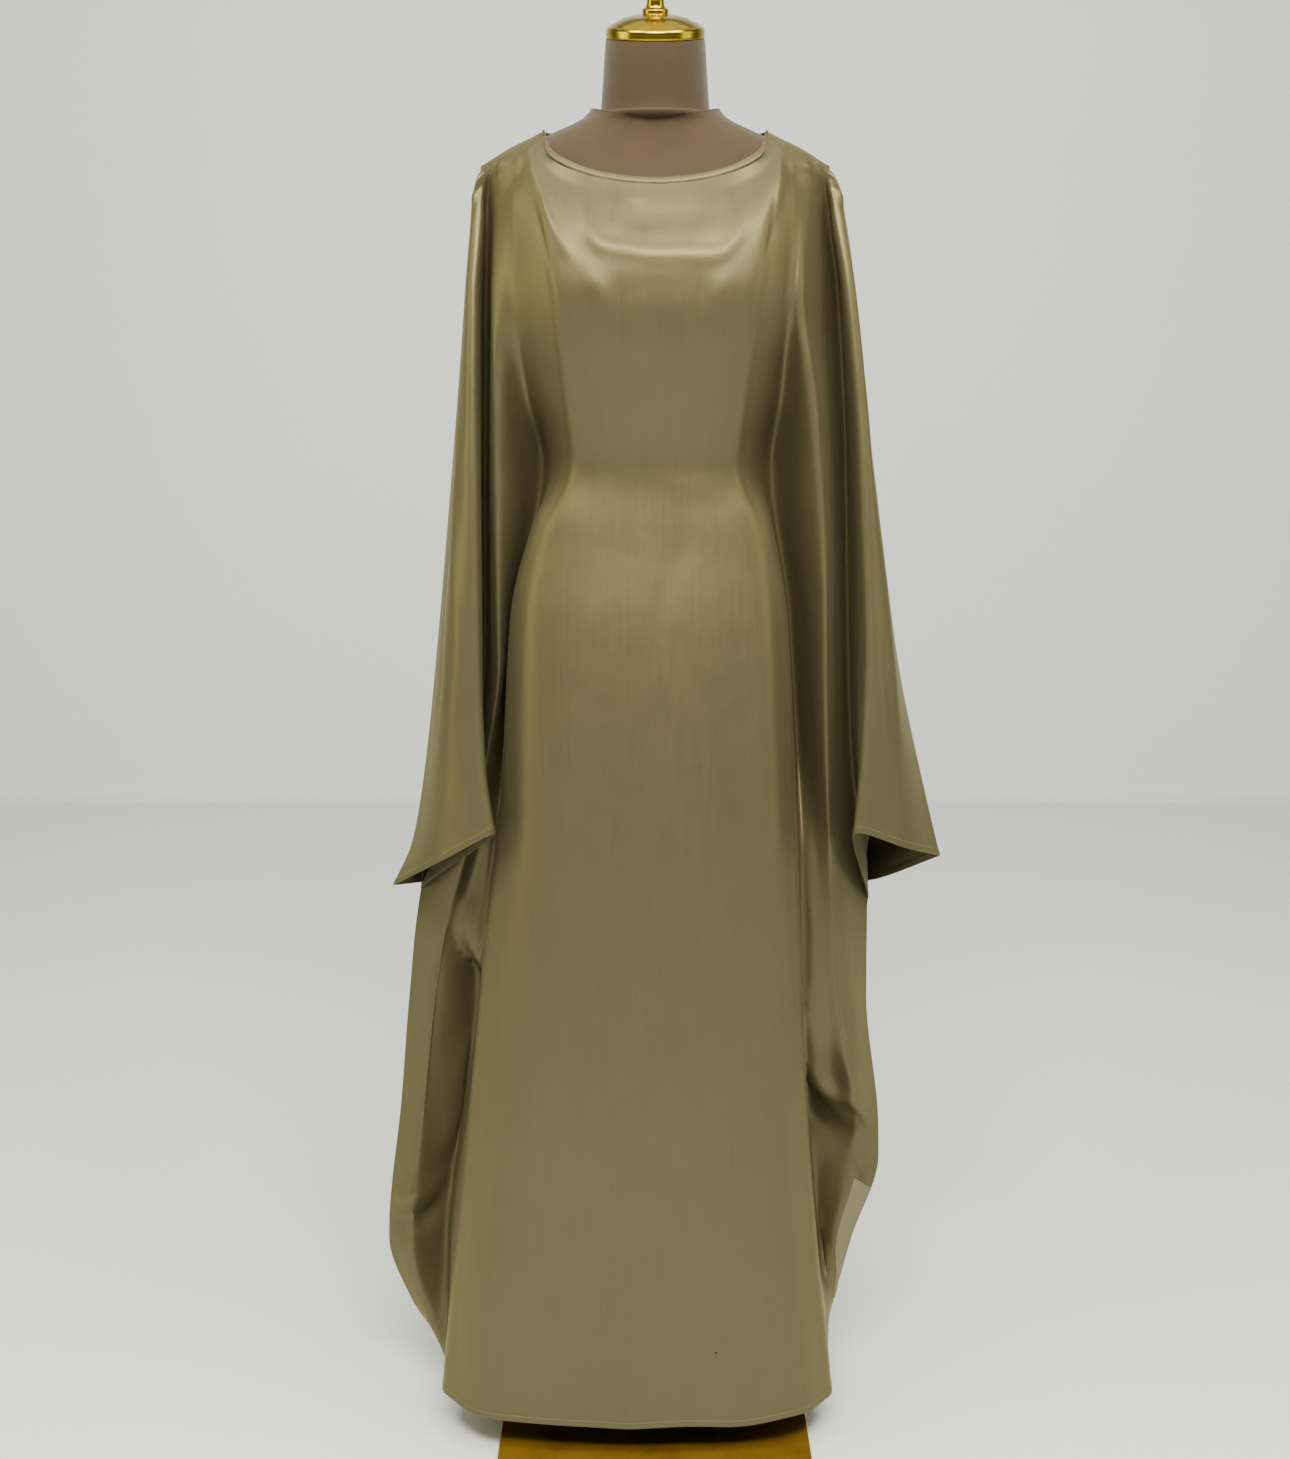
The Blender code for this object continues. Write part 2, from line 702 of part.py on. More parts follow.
def cloth_wall(name, make_lines, folds, facing, form_tree, material):
    """One panel: its mid surface thickened to the cloth's wall. Returns its points and normals."""
    points, sewn, lapped = sheet_points(make_lines, folds, facing, form_tree)
    faces = grid_triangles(points)
    sign = -facing
    normals = {key: Vector((0, 0, 0)) for key in points}
    for corners in faces:
        a, b, c = (points[key] for key in corners)
        normal = (b - a).cross(c - a).normalized() * sign
        for key in corners:
            normals[key] = normals[key] + normal
    mesh = bmesh.new()
    outer, inner = {}, {}
    normals.update(seam_normals(points, sewn, columns_to(folds, len(folds) - 1)))
    normals.update({key: Vector((0, facing, 0)) for key in lapped})
    for key, point in points.items():
        normals[key].normalize()
        outer[key] = mesh.verts.new(point + normals[key] * (WALL / 2))
        inner[key] = mesh.verts.new(point - normals[key] * (WALL / 2))
    edges = set()
    for corners in faces:
        turned = corners if sign > 0 else corners[::-1]
        mesh.faces.new([outer[key] for key in turned])
        mesh.faces.new([inner[key] for key in reversed(turned)])
        edges.update(zip(turned, (*turned[1:], turned[0])))
    for a, b in edges:
        if (b, a) not in edges:
            mesh.faces.new((outer[b], outer[a], inner[a], inner[b]))
    new_object(name, mesh, material)
    return points, normals


def rest_on(tree, point, clearance):
    """The point, moved out of the form to its clearance where it would lie inside or too near."""
    place, normal, _, _ = tree.find_nearest(point)
    height = (point - place).dot(normal)
    if height >= clearance:
        return point
    return point + normal * (clearance - height)


def new_object(name, mesh, material, smooth=True):
    data = bpy.data.meshes.new(name)
    bmesh.ops.triangulate(mesh, faces=mesh.faces[:])
    mesh.to_mesh(data)
    mesh.free()
    made = bpy.data.objects.new(name, data)
    bpy.context.scene.collection.objects.link(made)
    data.materials.append(material)
    if smooth:
        data.shade_smooth()
        data.set_sharp_from_angle(angle=math.radians(40))
    return made


def finish(name, colour, roughness, metallic=0.0):
    material = bpy.data.materials.new(name)
    material.use_nodes = True
    shader = material.node_tree.nodes["Principled BSDF"]
    shader.inputs["Base Color"].default_value = (*colour, 1)
    shader.inputs["Roughness"].default_value = roughness
    shader.inputs["Metallic"].default_value = metallic
    return material


def loft(name, rings, material):
    """A closed solid through rings of equal counts, with flat ends."""
    mesh = bmesh.new()
    made = [[mesh.verts.new(point) for point in ring] for ring in rings]
    count = len(made[0])
    for lower, upper in zip(made, made[1:]):
        for i in range(count):
            j = (i + 1) % count
            mesh.faces.new((lower[i], lower[j], upper[j], upper[i]))
    mesh.faces.new(made[0][::-1])
    mesh.faces.new(made[-1])
    return new_object(name, mesh, material)


def torso_ring(height, count=36):
    """A section of the form: a rounded oval, deeper at the front over the bust."""
    half_width = along(TORSO, height)
    front = along(TORSO, height, 2)
    back = along(TORSO, height, 3)
    power = 2 / along(TORSO, height, 4)
    ring = []
    for i in range(count):
        angle = 2 * math.pi * i / count
        across, deep = math.cos(angle), math.sin(angle)
        reach = back if deep > 0 else -front
        x = half_width * math.copysign(abs(across) ** power, across)
        y = reach * math.copysign(abs(deep) ** power, deep)
        ring.append(Vector((x, y, height)))
    return ring


def make_torso(material):
    low, high = TORSO_BOTTOM, TORSO_TOP
    steps = [low, 0.785, 0.80, 0.85, 0.90, 0.95, 1.00, 1.04, 1.08, 1.12, 1.16, 1.20, 1.24, 1.27, 1.30]
    steps += [1.33, 1.36, 1.385, 1.405, 1.420, 1.432, 1.445, 1.460, 1.474, high]
    rings = [torso_ring(height) for height in steps]
    return loft("form_torso", rings, material)


def neck_disc(height, radius, count=28):
    """A round section of the neck, which leans forward and whose top tilts to the front."""
    rise = (height - TORSO_TOP) / (NECK_TOP_HEIGHT - TORSO_TOP)
    middle = Vector((0, -NECK_LEAN * rise, height))
    tilt = NECK_TILT * min(1.0, max(0.0, rise))
    ring = []
    for i in range(count):
        angle = 2 * math.pi * i / count
        x, y = radius * math.cos(angle), radius * math.sin(angle)
        ring.append(middle + Vector((x, y * math.cos(tilt), y * math.sin(tilt))))
    return ring


def make_neck(material):
    low = TORSO_TOP + SEAM_GAP
    profile = (
        (low, NECK_RADIUS + 0.0040),
        (low + 0.006, NECK_RADIUS + 0.0045),
        (low + 0.016, NECK_RADIUS + 0.0005),
        (low + 0.040, NECK_RADIUS - 0.0015),
        (low + 0.062, NECK_RADIUS - 0.0030),
        (NECK_TOP_HEIGHT, NECK_RADIUS - 0.0050),
    )
    rings = [neck_disc(height, radius) for height, radius in profile]
    rings[0] = [Vector((point.x, point.y, low)) for point in rings[0]]
    return loft("form_neck", rings, material)


def turned(name, profile, material, count=28, origin=(0, 0, 0), tilt=0.0):
    """A solid turned from (radius, height) rows, then tipped forward about its own foot."""
    rings = []
    for radius, height in profile:
        ring = []
        for i in range(count):
            angle = 2 * math.pi * i / count
            x, y = radius * math.cos(angle), radius * math.sin(angle)
            turned_y = y * math.cos(tilt) - height * math.sin(tilt)
            turned_z = y * math.sin(tilt) + height * math.cos(tilt)
            ring.append(Vector(origin) + Vector((x, turned_y, turned_z)))
        rings.append(ring)
    return loft(name, rings, material)


def make_cap(gold):
    """The gold neck cap: a rim, a low dome, a collar and a small round knob on a stem."""
    foot = (0, -NECK_LEAN, NECK_TOP_HEIGHT + SEAM_GAP)
    rim = CAP_RADIUS
    profile = (
        (rim - 0.0010, 0.0000),
        (rim, 0.0015),
        (rim, 0.0085),
        (rim - 0.0020, 0.0110),
        (rim - 0.0080, 0.0150),
        (rim * 0.62, 0.0205),
        (rim * 0.36, 0.0235),
        (0.0135, 0.0245),
        (0.0135, 0.0290),
        (0.0105, 0.0310),
        (0.0095, 0.0400),
        (0.0110, 0.0430),
        (0.0150, 0.0470),
        (0.0170, 0.0540),
        (0.0150, 0.0610),
        (0.0090, 0.0660),
        (0.0030, 0.0680),
    )
    return turned("neck_cap", profile, gold, origin=foot, tilt=NECK_TILT)


def make_stand(gold):
    """Pole and square base plate, with a turned collar at the pole's foot."""
    collar_profile = (
        (COLLAR_RADIUS, BASE_THICK + SEAM_GAP),
        (COLLAR_RADIUS, BASE_THICK + SEAM_GAP + 0.004),
        (COLLAR_RADIUS * 0.72, BASE_THICK + SEAM_GAP + 0.010),
        (COLLAR_RADIUS * 0.62, BASE_THICK + COLLAR_HEIGHT),
    )
    turned("pole_collar", collar_profile, gold)
    foot = BASE_THICK + COLLAR_HEIGHT + SEAM_GAP
    turned("pole", ((POLE_RADIUS, foot), (POLE_RADIUS, TORSO_BOTTOM - SEAM_GAP)), gold, count=20)
    mesh = bmesh.new()
    bmesh.ops.create_cube(mesh, size=1)
    for vert in mesh.verts:
        vert.co = Vector((vert.co.x * BASE_SIDE, vert.co.y * BASE_SIDE, (vert.co.z + 0.5) * BASE_THICK))
    plate = new_object("base_plate", mesh, gold)
    bevel = plate.modifiers.new("eased edges", "BEVEL")
    bevel.width = 0.0015
    bevel.segments = 2


def make_binding(front, back, form_tree, material):
    """The neckline's binding: a narrow folded band, edge to edge with the panels."""
    path = []
    for (points, normals), folds, facing in ((front, FRONT_FOLDS, -1), (back, BACK_FOLDS, 1)):
        middle = columns_to(folds, len(folds) - 1)
        side = columns_to(folds, SHOULDER)
        if facing < 0:
            columns = range(middle - side, middle + side + 1)
        else:
            columns = range(middle + side - 1, middle - side, -1)
        path += [(points[0, j], normals[0, j]) for j in columns]
    inner = -WALL / 2
    outer = inner + BINDING_THICK
    top = SEAM_GAP + BINDING_WIDTH
    section = (
        (outer, SEAM_GAP),
        (outer, top - BINDING_THICK / 3),
        (outer - BINDING_THICK / 3, top),
        (inner + BINDING_THICK / 3, top),
        (inner, top - BINDING_THICK / 3),
        (inner, SEAM_GAP),
    )
    mesh = bmesh.new()
    rings = []
    for i, (point, normal) in enumerate(path):
        tangent = path[(i + 1) % len(path)][0] - path[i - 1][0]
        up = normal.cross(tangent).normalized()
        up = (rest_on(form_tree, point + up * top, BINDING_CLEARANCE) - point).normalized()
        rings.append([mesh.verts.new(point + normal * out + up * rise) for out, rise in section])
    for i, ring in enumerate(rings):
        after = rings[(i + 1) % len(rings)]
        for k in range(len(section)):
            m = (k + 1) % len(section)
            mesh.faces.new((ring[k], after[k], after[m], ring[m]))
    bmesh.ops.recalc_face_normals(mesh, faces=mesh.faces[:])
    new_object("neck_binding", mesh, material)


def clear_scene():
    for thing in list(bpy.data.objects):
        bpy.data.objects.remove(thing)


def main():
    clear_scene()
    satin = finish("satin", (0.205, 0.165, 0.080), 0.36)
    bound = finish("satin_binding", (0.225, 0.185, 0.095), 0.38)
    cover = finish("form_cover", (0.205, 0.130, 0.080), 0.85)
    gold = finish("gold", (0.62, 0.47, 0.08), 0.16, metallic=1.0)
    torso = make_torso(cover)
    make_neck(cover)
    make_cap(gold)
    make_stand(gold)
    corners = [vert.co.copy() for vert in torso.data.vertices]
    tree = BVHTree.FromPolygons(corners, [tuple(face.vertices) for face in torso.data.polygons])
    front = cloth_wall("front_panel", front_lines, FRONT_FOLDS, -1, tree, satin)
    back = cloth_wall("back_panel", back_lines, BACK_FOLDS, 1, tree, satin)
    make_binding(front, back, tree, bound)


main()
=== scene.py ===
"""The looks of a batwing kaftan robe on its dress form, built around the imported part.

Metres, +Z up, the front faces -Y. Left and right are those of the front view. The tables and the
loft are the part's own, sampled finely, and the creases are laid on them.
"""

import math
import random

import bmesh
import bpy
import numpy as np
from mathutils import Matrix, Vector
from mathutils.bvhtree import BVHTree


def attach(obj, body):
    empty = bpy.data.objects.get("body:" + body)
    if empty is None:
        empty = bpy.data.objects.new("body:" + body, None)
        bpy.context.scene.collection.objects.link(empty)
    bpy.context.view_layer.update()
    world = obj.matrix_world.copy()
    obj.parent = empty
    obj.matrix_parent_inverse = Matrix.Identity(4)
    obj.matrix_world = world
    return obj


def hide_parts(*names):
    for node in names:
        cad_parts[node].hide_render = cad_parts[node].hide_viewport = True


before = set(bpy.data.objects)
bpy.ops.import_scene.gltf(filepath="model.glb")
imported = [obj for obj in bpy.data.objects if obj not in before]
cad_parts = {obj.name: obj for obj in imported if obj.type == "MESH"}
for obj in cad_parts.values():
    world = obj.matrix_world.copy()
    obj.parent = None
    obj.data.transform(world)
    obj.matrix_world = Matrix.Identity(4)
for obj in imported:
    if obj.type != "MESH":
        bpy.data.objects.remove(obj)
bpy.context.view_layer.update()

# Cloth
SEAM_GAP = 0.0003
REST_HEIGHT = 0.075  # how far below its edge the cloth takes to leave the form, at the neckline
REST_HEIGHT_AT_SHOULDER_END = 0.022
HEM_HEIGHT = 0.047

# Neckline: an oval seen from above, dipping at the front
NECK_HALF_WIDTH = 0.122
NECK_SIDE_HEIGHT = 1.4775
NECK_FRONT_DROP = 0.0540
NECK_BACK_DROP = 0.001
NECKLINE_LIFT = 0.0060
RIDGE_LIFT = 0.0110  # the same at the form's sides, so that the shoulder seam clears its ridge
BINDING_LIES_DOWN = 0.014  # how far from the shoulder seam the binding turns to lie on the form
BINDING_CLEARANCE = 0.0042  # from the form to the middle of the binding's free edge

# Shoulder seam
SHOULDER_OUT = 0.192
SHOULDER_HEIGHT = 1.4445
SHOULDER_ROUNDING = 0.09  # depth of the cloth over the square root of the drop from the seam

# Dress form
TORSO_BOTTOM = 0.770
TORSO_TOP = 1.4895
NECK_RADIUS = 0.0575
NECK_TOP_HEIGHT = 1.572
NECK_LEAN = 0.018
NECK_TILT = math.radians(12)
CAP_RADIUS = 0.0525
POLE_RADIUS = 0.0125
BASE_SIDE = 0.358
BASE_THICK = 0.010
COLLAR_RADIUS = 0.030
COLLAR_HEIGHT = 0.024

# Rows of the loft, as shares of the way from the top edge to the cuff's row, close over the shoulder
SHARES_ABOVE_CUFF = (
    0, 0.003, 0.009, 0.019, 0.034, 0.055, 0.082, 0.116, 0.157, 0.205,
    0.260, 0.322, 0.390, 0.462, 0.536, 0.612, 0.688, 0.762, 0.836, 0.908, 0.962, 1,
)  # fmt: skip

# Fold lines of a half, out from the centre: name, radius of its fold, spans on to the next line
FRONT_FOLDS = (
    ("centre", 0.0, 2),
    ("chest", 0.0, 2),
    ("breast", 0.0, 2),
    ("edge", 0.014, 1),
    ("valley", 0.006, 1),
    ("crest", 0.006, 1),
    ("slit", 0.0035, 1),
    ("sleeve_crest", 0.006, 2),
    ("sleeve_front", 0.0, 2),
    ("outer_seam", 0.0, 0),
)
BACK_FOLDS = (
    ("centre", 0.0, 2),
    ("blade", 0.0, 1),
    ("side_blade", 0.0, 2),
    ("edge", 0.012, 1),
    ("valley", 0.006, 1),
    ("crest", 0.007, 1),
    ("slit", 0.0035, 1),
    ("sleeve_crest", 0.007, 1),
    ("sleeve_front", 0.0, 1),
    ("outer_seam", 0.0, 0),
)
# Where the fold lines start: degrees round the neckline, shares of the shoulder seam
CHEST_TURN = 33
BREAST_TURN = 60
SHOULDER_SHARE = {
    "edge": 0.0,
    "valley": 0.30,
    "crest": 0.56,
    "slit": 0.74,
    "sleeve_crest": 0.86,
    "sleeve_front": 0.94,
}
# Heights of the fold lines at the cuff's row: front left, front right, back
KNEE_HEIGHT = {
    "body": (0.700, 0.700, 0.700),
    "edge": (0.700, 0.700, 0.700),
    "valley": (0.690, 0.690, 0.690),
    "crest": (0.665, 0.665, 0.665),
    "slit": (0.630, 0.612, None),
    "sleeve_crest": (0.725, 0.725, 0.628),
    "sleeve_front": (0.690, 0.705, 0.632),
}
FOLDS_SOFT_BY = 0.08  # share of the way to the cuff's row by which the folds are fully rounded
SOFTNESS_AT_SEAM_TOP = 0.5  # how far the slit's fold is rounded where the side seam starts
SLIT = 6  # the fold line that becomes the side seam below the cuff
SLIT_PARTING = 0.005  # how far the back's slit stands behind the side seam just above the cuff
SLIT_PARTED_BY = 0.03
SEAM_BLEND = 0.14  # height over which the back's slit comes round to the side seam
CUFF_LOW = 0.60
CUFF_HIGH = 0.76
SHOULDER = 3  # the first fold line that starts on the shoulder seam

# Centre lines of the cloth: height, depth
CENTRE_FRONT = (
    (1.429, -0.077),
    (1.400, -0.101),
    (1.350, -0.126),
    (1.310, -0.135),
    (1.270, -0.131),
    (1.200, -0.112),
    (1.120, -0.091),
    (1.050, -0.100),
    (0.950, -0.119),
    (0.800, -0.135),
    (0.500, -0.152),
    (HEM_HEIGHT, -0.168),
)
CENTRE_BACK = (
    (1.485, 0.055),
    (1.440, 0.082),
    (1.350, 0.103),
    (1.250, 0.097),
    (1.120, 0.083),
    (1.000, 0.116),
    (0.900, 0.132),
    (0.700, 0.136),
    (0.400, 0.146),
    (HEM_HEIGHT, 0.160),
)

# Outer seam from the shoulder down to the cuff's tip: height, distance out
LEFT_OUTER_SEAM = (
    (SHOULDER_HEIGHT, SHOULDER_OUT),
    (1.407, 0.1975),
    (1.301, 0.208),
    (1.115, 0.226),
    (0.901, 0.248),
    (0.785, 0.262),
    (0.691, 0.279),
    (0.637, 0.303),
)
RIGHT_OUTER_SEAM = (
    (SHOULDER_HEIGHT, SHOULDER_OUT),
    (1.415, 0.201),
    (1.349, 0.214),
    (1.214, 0.230),
    (1.052, 0.253),
    (0.894, 0.277),
    (0.738, 0.313),
    (0.672, 0.330),
)

# Fold lines of the front below the shoulder seam: height, distance out, depth
LEFT_EDGE = (
    (1.455, 0.133, -0.052),
    (1.400, 0.131, -0.082),
    (1.310, 0.122, -0.104),
    (1.200, 0.110, -0.078),
    (1.120, 0.104, -0.052),
    (1.064, 0.130, -0.066),
    (0.962, 0.157, -0.068),
    (0.810, 0.167, -0.070),
    (0.721, 0.173, -0.072),
    (0.540, 0.194, -0.077),
    (0.318, 0.217, -0.084),
    (HEM_HEIGHT, 0.247, -0.092),
)
LEFT_VALLEY = (
    (1.430, 0.147, -0.046),
    (1.400, 0.150, -0.064),
    (1.310, 0.150, -0.077),
    (1.200, 0.140, -0.040),
    (1.120, 0.126, 0.004),
    (0.962, 0.157, 0.008),
    (0.800, 0.171, 0.014),
    (0.725, 0.179, 0.018),
    (0.600, 0.197, 0.028),
    (0.400, 0.222, 0.032),
    (0.180, 0.250, 0.012),
    (HEM_HEIGHT, 0.2480, -0.050),
)
LEFT_CREST = (
    (1.420, 0.168, -0.026),
    (1.400, 0.168, -0.038),
    (1.300, 0.173, -0.060),
    (1.120, 0.172, -0.066),
    (0.911, 0.172, -0.060),
    (0.800, 0.188, -0.036),
    (0.680, 0.216, -0.022),
    (0.600, 0.238, 0.000),
    (0.500, 0.256, 0.002),
    (0.400, 0.268, 0.000),
    (0.193, 0.290, -0.012),
    (0.100, 0.270, -0.016),
    (HEM_HEIGHT, 0.2485, -0.024),
)
LEFT_SLIT = (
    (1.420, 0.181, -0.010),
    (1.380, 0.183, 0.000),
    (1.300, 0.186, 0.012),
    (1.120, 0.190, 0.018),
    (0.900, 0.194, 0.022),
    (0.800, 0.206, 0.024),
    (0.720, 0.234, 0.018),
    (0.660, 0.258, 0.006),
    (0.630, 0.272, 0.012),
    (0.497, 0.289, 0.012),
    (0.373, 0.301, 0.014),
    (0.193, 0.320, 0.012),
    (0.118, 0.295, 0.008),
    (HEM_HEIGHT, 0.249, 0.004),
)
LEFT_SLEEVE_CREST = (
    (1.420, 0.1875, -0.016),
    (1.380, 0.1895, -0.034),
    (1.300, 0.1945, -0.056),
    (1.120, 0.195, -0.080),
    (0.915, 0.193, -0.092),
    (0.800, 0.188, -0.100),
    (0.725, 0.177, -0.110),
)
LEFT_SLEEVE_FRONT = (
    (1.400, 0.197, -0.020),
    (1.300, 0.2055, -0.036),
    (1.120, 0.215, -0.058),
    (0.900, 0.228, -0.074),
    (0.690, 0.236, -0.090),
)
RIGHT_EDGE = (
    (1.455, 0.133, -0.052),
    (1.400, 0.131, -0.082),
    (1.310, 0.124, -0.106),
    (1.200, 0.110, -0.078),
    (1.120, 0.104, -0.052),
    (1.064, 0.123, -0.066),
    (0.954, 0.143, -0.070),
    (0.830, 0.151, -0.072),
    (0.661, 0.159, -0.076),
    (0.441, 0.170, -0.082),
    (0.255, 0.184, -0.088),
    (HEM_HEIGHT, 0.207, -0.092),
)
RIGHT_VALLEY = (
    (1.430, 0.145, -0.048),
    (1.400, 0.147, -0.066),
    (1.310, 0.142, -0.086),
    (1.200, 0.138, -0.038),
    (1.120, 0.130, 0.002),
    (0.954, 0.152, 0.004),
    (0.725, 0.166, -0.004),
    (0.500, 0.172, -0.016),
    (0.380, 0.182, 0.012),
    (0.200, 0.198, 0.012),
    (0.130, 0.2035, -0.036),
    (HEM_HEIGHT, 0.2080, -0.050),
)
RIGHT_CREST = (
    (1.420, 0.164, -0.030),
    (1.400, 0.162, -0.048),
    (1.300, 0.155, -0.082),
    (1.199, 0.168, -0.082),
    (1.014, 0.185, -0.074),
    (0.830, 0.190, -0.068),
    (0.700, 0.196, -0.058),
    (0.550, 0.208, -0.052),
    (0.450, 0.220, -0.046),
    (0.390, 0.232, -0.030),
    (0.330, 0.238, 0.004),
    (0.200, 0.219, 0.000),
    (0.130, 0.2105, -0.015),
    (HEM_HEIGHT, 0.2085, -0.024),
)
RIGHT_SLIT = (
    (1.420, 0.184, -0.010),
    (1.380, 0.190, 0.000),
    (1.314, 0.200, 0.006),
    (1.120, 0.213, 0.014),
    (0.950, 0.219, 0.018),
    (0.800, 0.226, 0.022),
    (0.645, 0.246, 0.018),
    (0.612, 0.250, 0.026),
    (0.497, 0.251, 0.022),
    (0.340, 0.268, 0.016),
    (0.298, 0.269, 0.014),
    (0.195, 0.238, 0.010),
    (0.130, 0.2215, 0.007),
    (0.085, 0.2110, 0.004),
    (HEM_HEIGHT, 0.209, 0.004),
)
RIGHT_SLEEVE_CREST = (
    (1.420, 0.190, -0.016),
    (1.380, 0.196, -0.032),
    (1.314, 0.207, -0.048),
    (1.120, 0.225, -0.070),
    (0.930, 0.233, -0.084),
    (0.812, 0.229, -0.096),
    (0.727, 0.221, -0.106),
)
RIGHT_SLEEVE_FRONT = (
    (1.400, 0.202, -0.018),
    (1.300, 0.218, -0.030),
    (1.120, 0.238, -0.050),
    (0.900, 0.262, -0.066),
    (0.705, 0.274, -0.086),
)
# Fold lines of the back, the same on both sides but for their reach:
# height, share of the way from the body to the outer or side seam, depth
BACK_EDGE = (
    (1.440, 0.00, 0.052),
    (1.400, 0.00, 0.076),
    (1.250, 0.00, 0.082),
    (1.120, 0.00, 0.060),
    (0.950, 0.00, 0.092),
    (0.600, 0.00, 0.104),
    (HEM_HEIGHT, 0.00, 0.096),
)
BACK_VALLEY = (
    (1.420, 0.28, 0.052),
    (1.250, 0.24, 0.062),
    (1.120, 0.20, 0.024),
    (0.700, 0.20, 0.050),
    (0.300, 0.34, 0.058),
    (HEM_HEIGHT, 0.30, 0.066),
)
BACK_CREST = (
    (1.420, 0.52, 0.040),
    (1.250, 0.48, 0.078),
    (1.000, 0.44, 0.092),
    (0.700, 0.42, 0.094),
    (0.300, 0.62, 0.064),
    (HEM_HEIGHT, 0.60, 0.040),
)
BACK_SLIT = (
    (1.420, 0.70, 0.024),
    (1.250, 0.64, 0.036),
    (1.000, 0.60, 0.036),
    (0.760, 0.66, 0.040),
)
BACK_SLEEVE_CREST = (
    (1.420, 0.84, 0.022),
    (1.200, 0.80, 0.060),
    (0.900, 0.76, 0.082),
    (0.640, 0.68, 0.098),
)
BACK_SLEEVE_FRONT = (
    (1.420, 0.94, 0.012),
    (1.200, 0.93, 0.036),
    (0.900, 0.92, 0.050),
    (0.640, 0.96, 0.058),
)
BACK_BODY_OUT = (
    (1.400, 0.130),
    (1.250, 0.112),
    (1.120, 0.104),
    (0.950, 0.146),
    (0.600, 0.168),
    (HEM_HEIGHT, 0.205),
)

# Sections of the dress form: height, half width, front depth, back depth, squareness
TORSO = (
    (TORSO_BOTTOM, 0.124, -0.078, 0.098, 2.3),
    (0.800, 0.136, -0.092, 0.112, 2.3),
    (0.900, 0.142, -0.100, 0.122, 2.3),
    (1.000, 0.128, -0.090, 0.104, 2.2),
    (1.070, 0.107, -0.079, 0.080, 2.1),
    (1.120, 0.099, -0.074, 0.070, 2.1),
    (1.180, 0.106, -0.084, 0.074, 2.1),
    (1.240, 0.121, -0.108, 0.082, 2.2),
    (1.300, 0.136, -0.127, 0.088, 2.2),
    (1.350, 0.150, -0.118, 0.090, 2.3),
    (1.390, 0.166, -0.098, 0.084, 2.3),
    (1.415, 0.177, -0.083, 0.076, 2.2),
    (1.432, 0.181, -0.074, 0.068, 2.0),
    (1.445, 0.176, -0.068, 0.064, 2.0),
    (1.460, 0.148, -0.064, 0.062, 2.0),
    (1.474, 0.116, -0.062, 0.061, 2.0),
    (TORSO_TOP, 0.080, -0.061, 0.060, 2.0),
)

# The thin cloth, and how finely the loft's rows and columns are sampled
CLOTH = 0.0006
HEM_CLOTH = 0.0013
HEM_TURN = 0.009
REFINE = 6  # fine columns to a span
FINE_ROWS = 5  # fine rows to each row above the cuff
ROWS_OF_SKIRT = 78
NEAR_HEM = (0.0004, 0.0012, 0.0030, 0.0055, 0.0078, 0.0086, 0.0094, 0.0120, 0.0170)
NEAR_FORM = 0.0012  # from the form to the middle of the cloth
SEAM_FADE = 0.012  # from a seam, over which creases grow to their full height
NECKLINE_FADE = 0.03

# Valleys that come forward above a slanting fold:
# side, fold line, width, depth, the fold's two ends as (distance out, height), softness
FRONT_FORWARD = (
    (-1, 4.1, 0.028, 0.032, ((0.191, 0.520), (0.250, 0.628)), 0.030),
    (1, 4.1, 0.032, 0.034, ((0.170, 0.442), (0.235, 0.346)), 0.034),
)
FORWARD_TOP = 0.80
FORWARD_FADE = 0.12

# Cuffs and shoulders
BACK_CUFF_SAG = (0.016, 0.013)  # left, right
CUFF_SAG_HEIGHT = 0.11
SHOULDER_EASE_FROM = 1.385
SHOULDER_EASE = 0.0040
SHOULDER_EASE_REACH = 0.044
STITCH = (0.0019, 0.00022, 0.0031)  # length, radius and pitch

# The cover's raised edge round the neck: share of the way from the top of the form, radius, rise
COVER_COLLAR = (
    (0.12, 0.070, -0.0028),
    (0.35, 0.070, -0.0008),
    (0.62, 0.070, 0.0026),
    (0.84, 0.070, 0.0068),
    (1.00, 0.0700, 0.0104),
    (1.00, 0.0700, 0.0120),
    (1.00, 0.0685, 0.0126),
    (1.00, 0.0668, 0.0116),
    (1.00, 0.0650, 0.0070),
    (1.00, 0.0640, 0.0010),
    (1.00, 0.0636, 0.0000),
)
COLLAR_DIP = 0.92  # share by which that edge is lower in front

# Section of the neckline's binding: out from the cloth, up from its edge
BINDING_SECTION = (
    (0.0010, -0.0008),
    (0.0015, 0.0002),
    (0.0017, 0.0020),
    (0.0018, 0.0040),
    (0.0015, 0.0058),
    (0.0007, 0.0069),
    (-0.0003, 0.0066),
    (-0.0007, 0.0052),
    (-0.0007, 0.0030),
    (-0.0006, 0.0004),
    (-0.0004, -0.0008),
    (0.0004, -0.0010),
)
BINDING_HEIGHT = 0.0068
BINDING_AT_SEAM = Vector((0.94, 0, 0.34))  # the way it lies beside the shoulder seam, inwards and up
BINDING_RIPPLE = 0.0115  # pitch of its small gathers

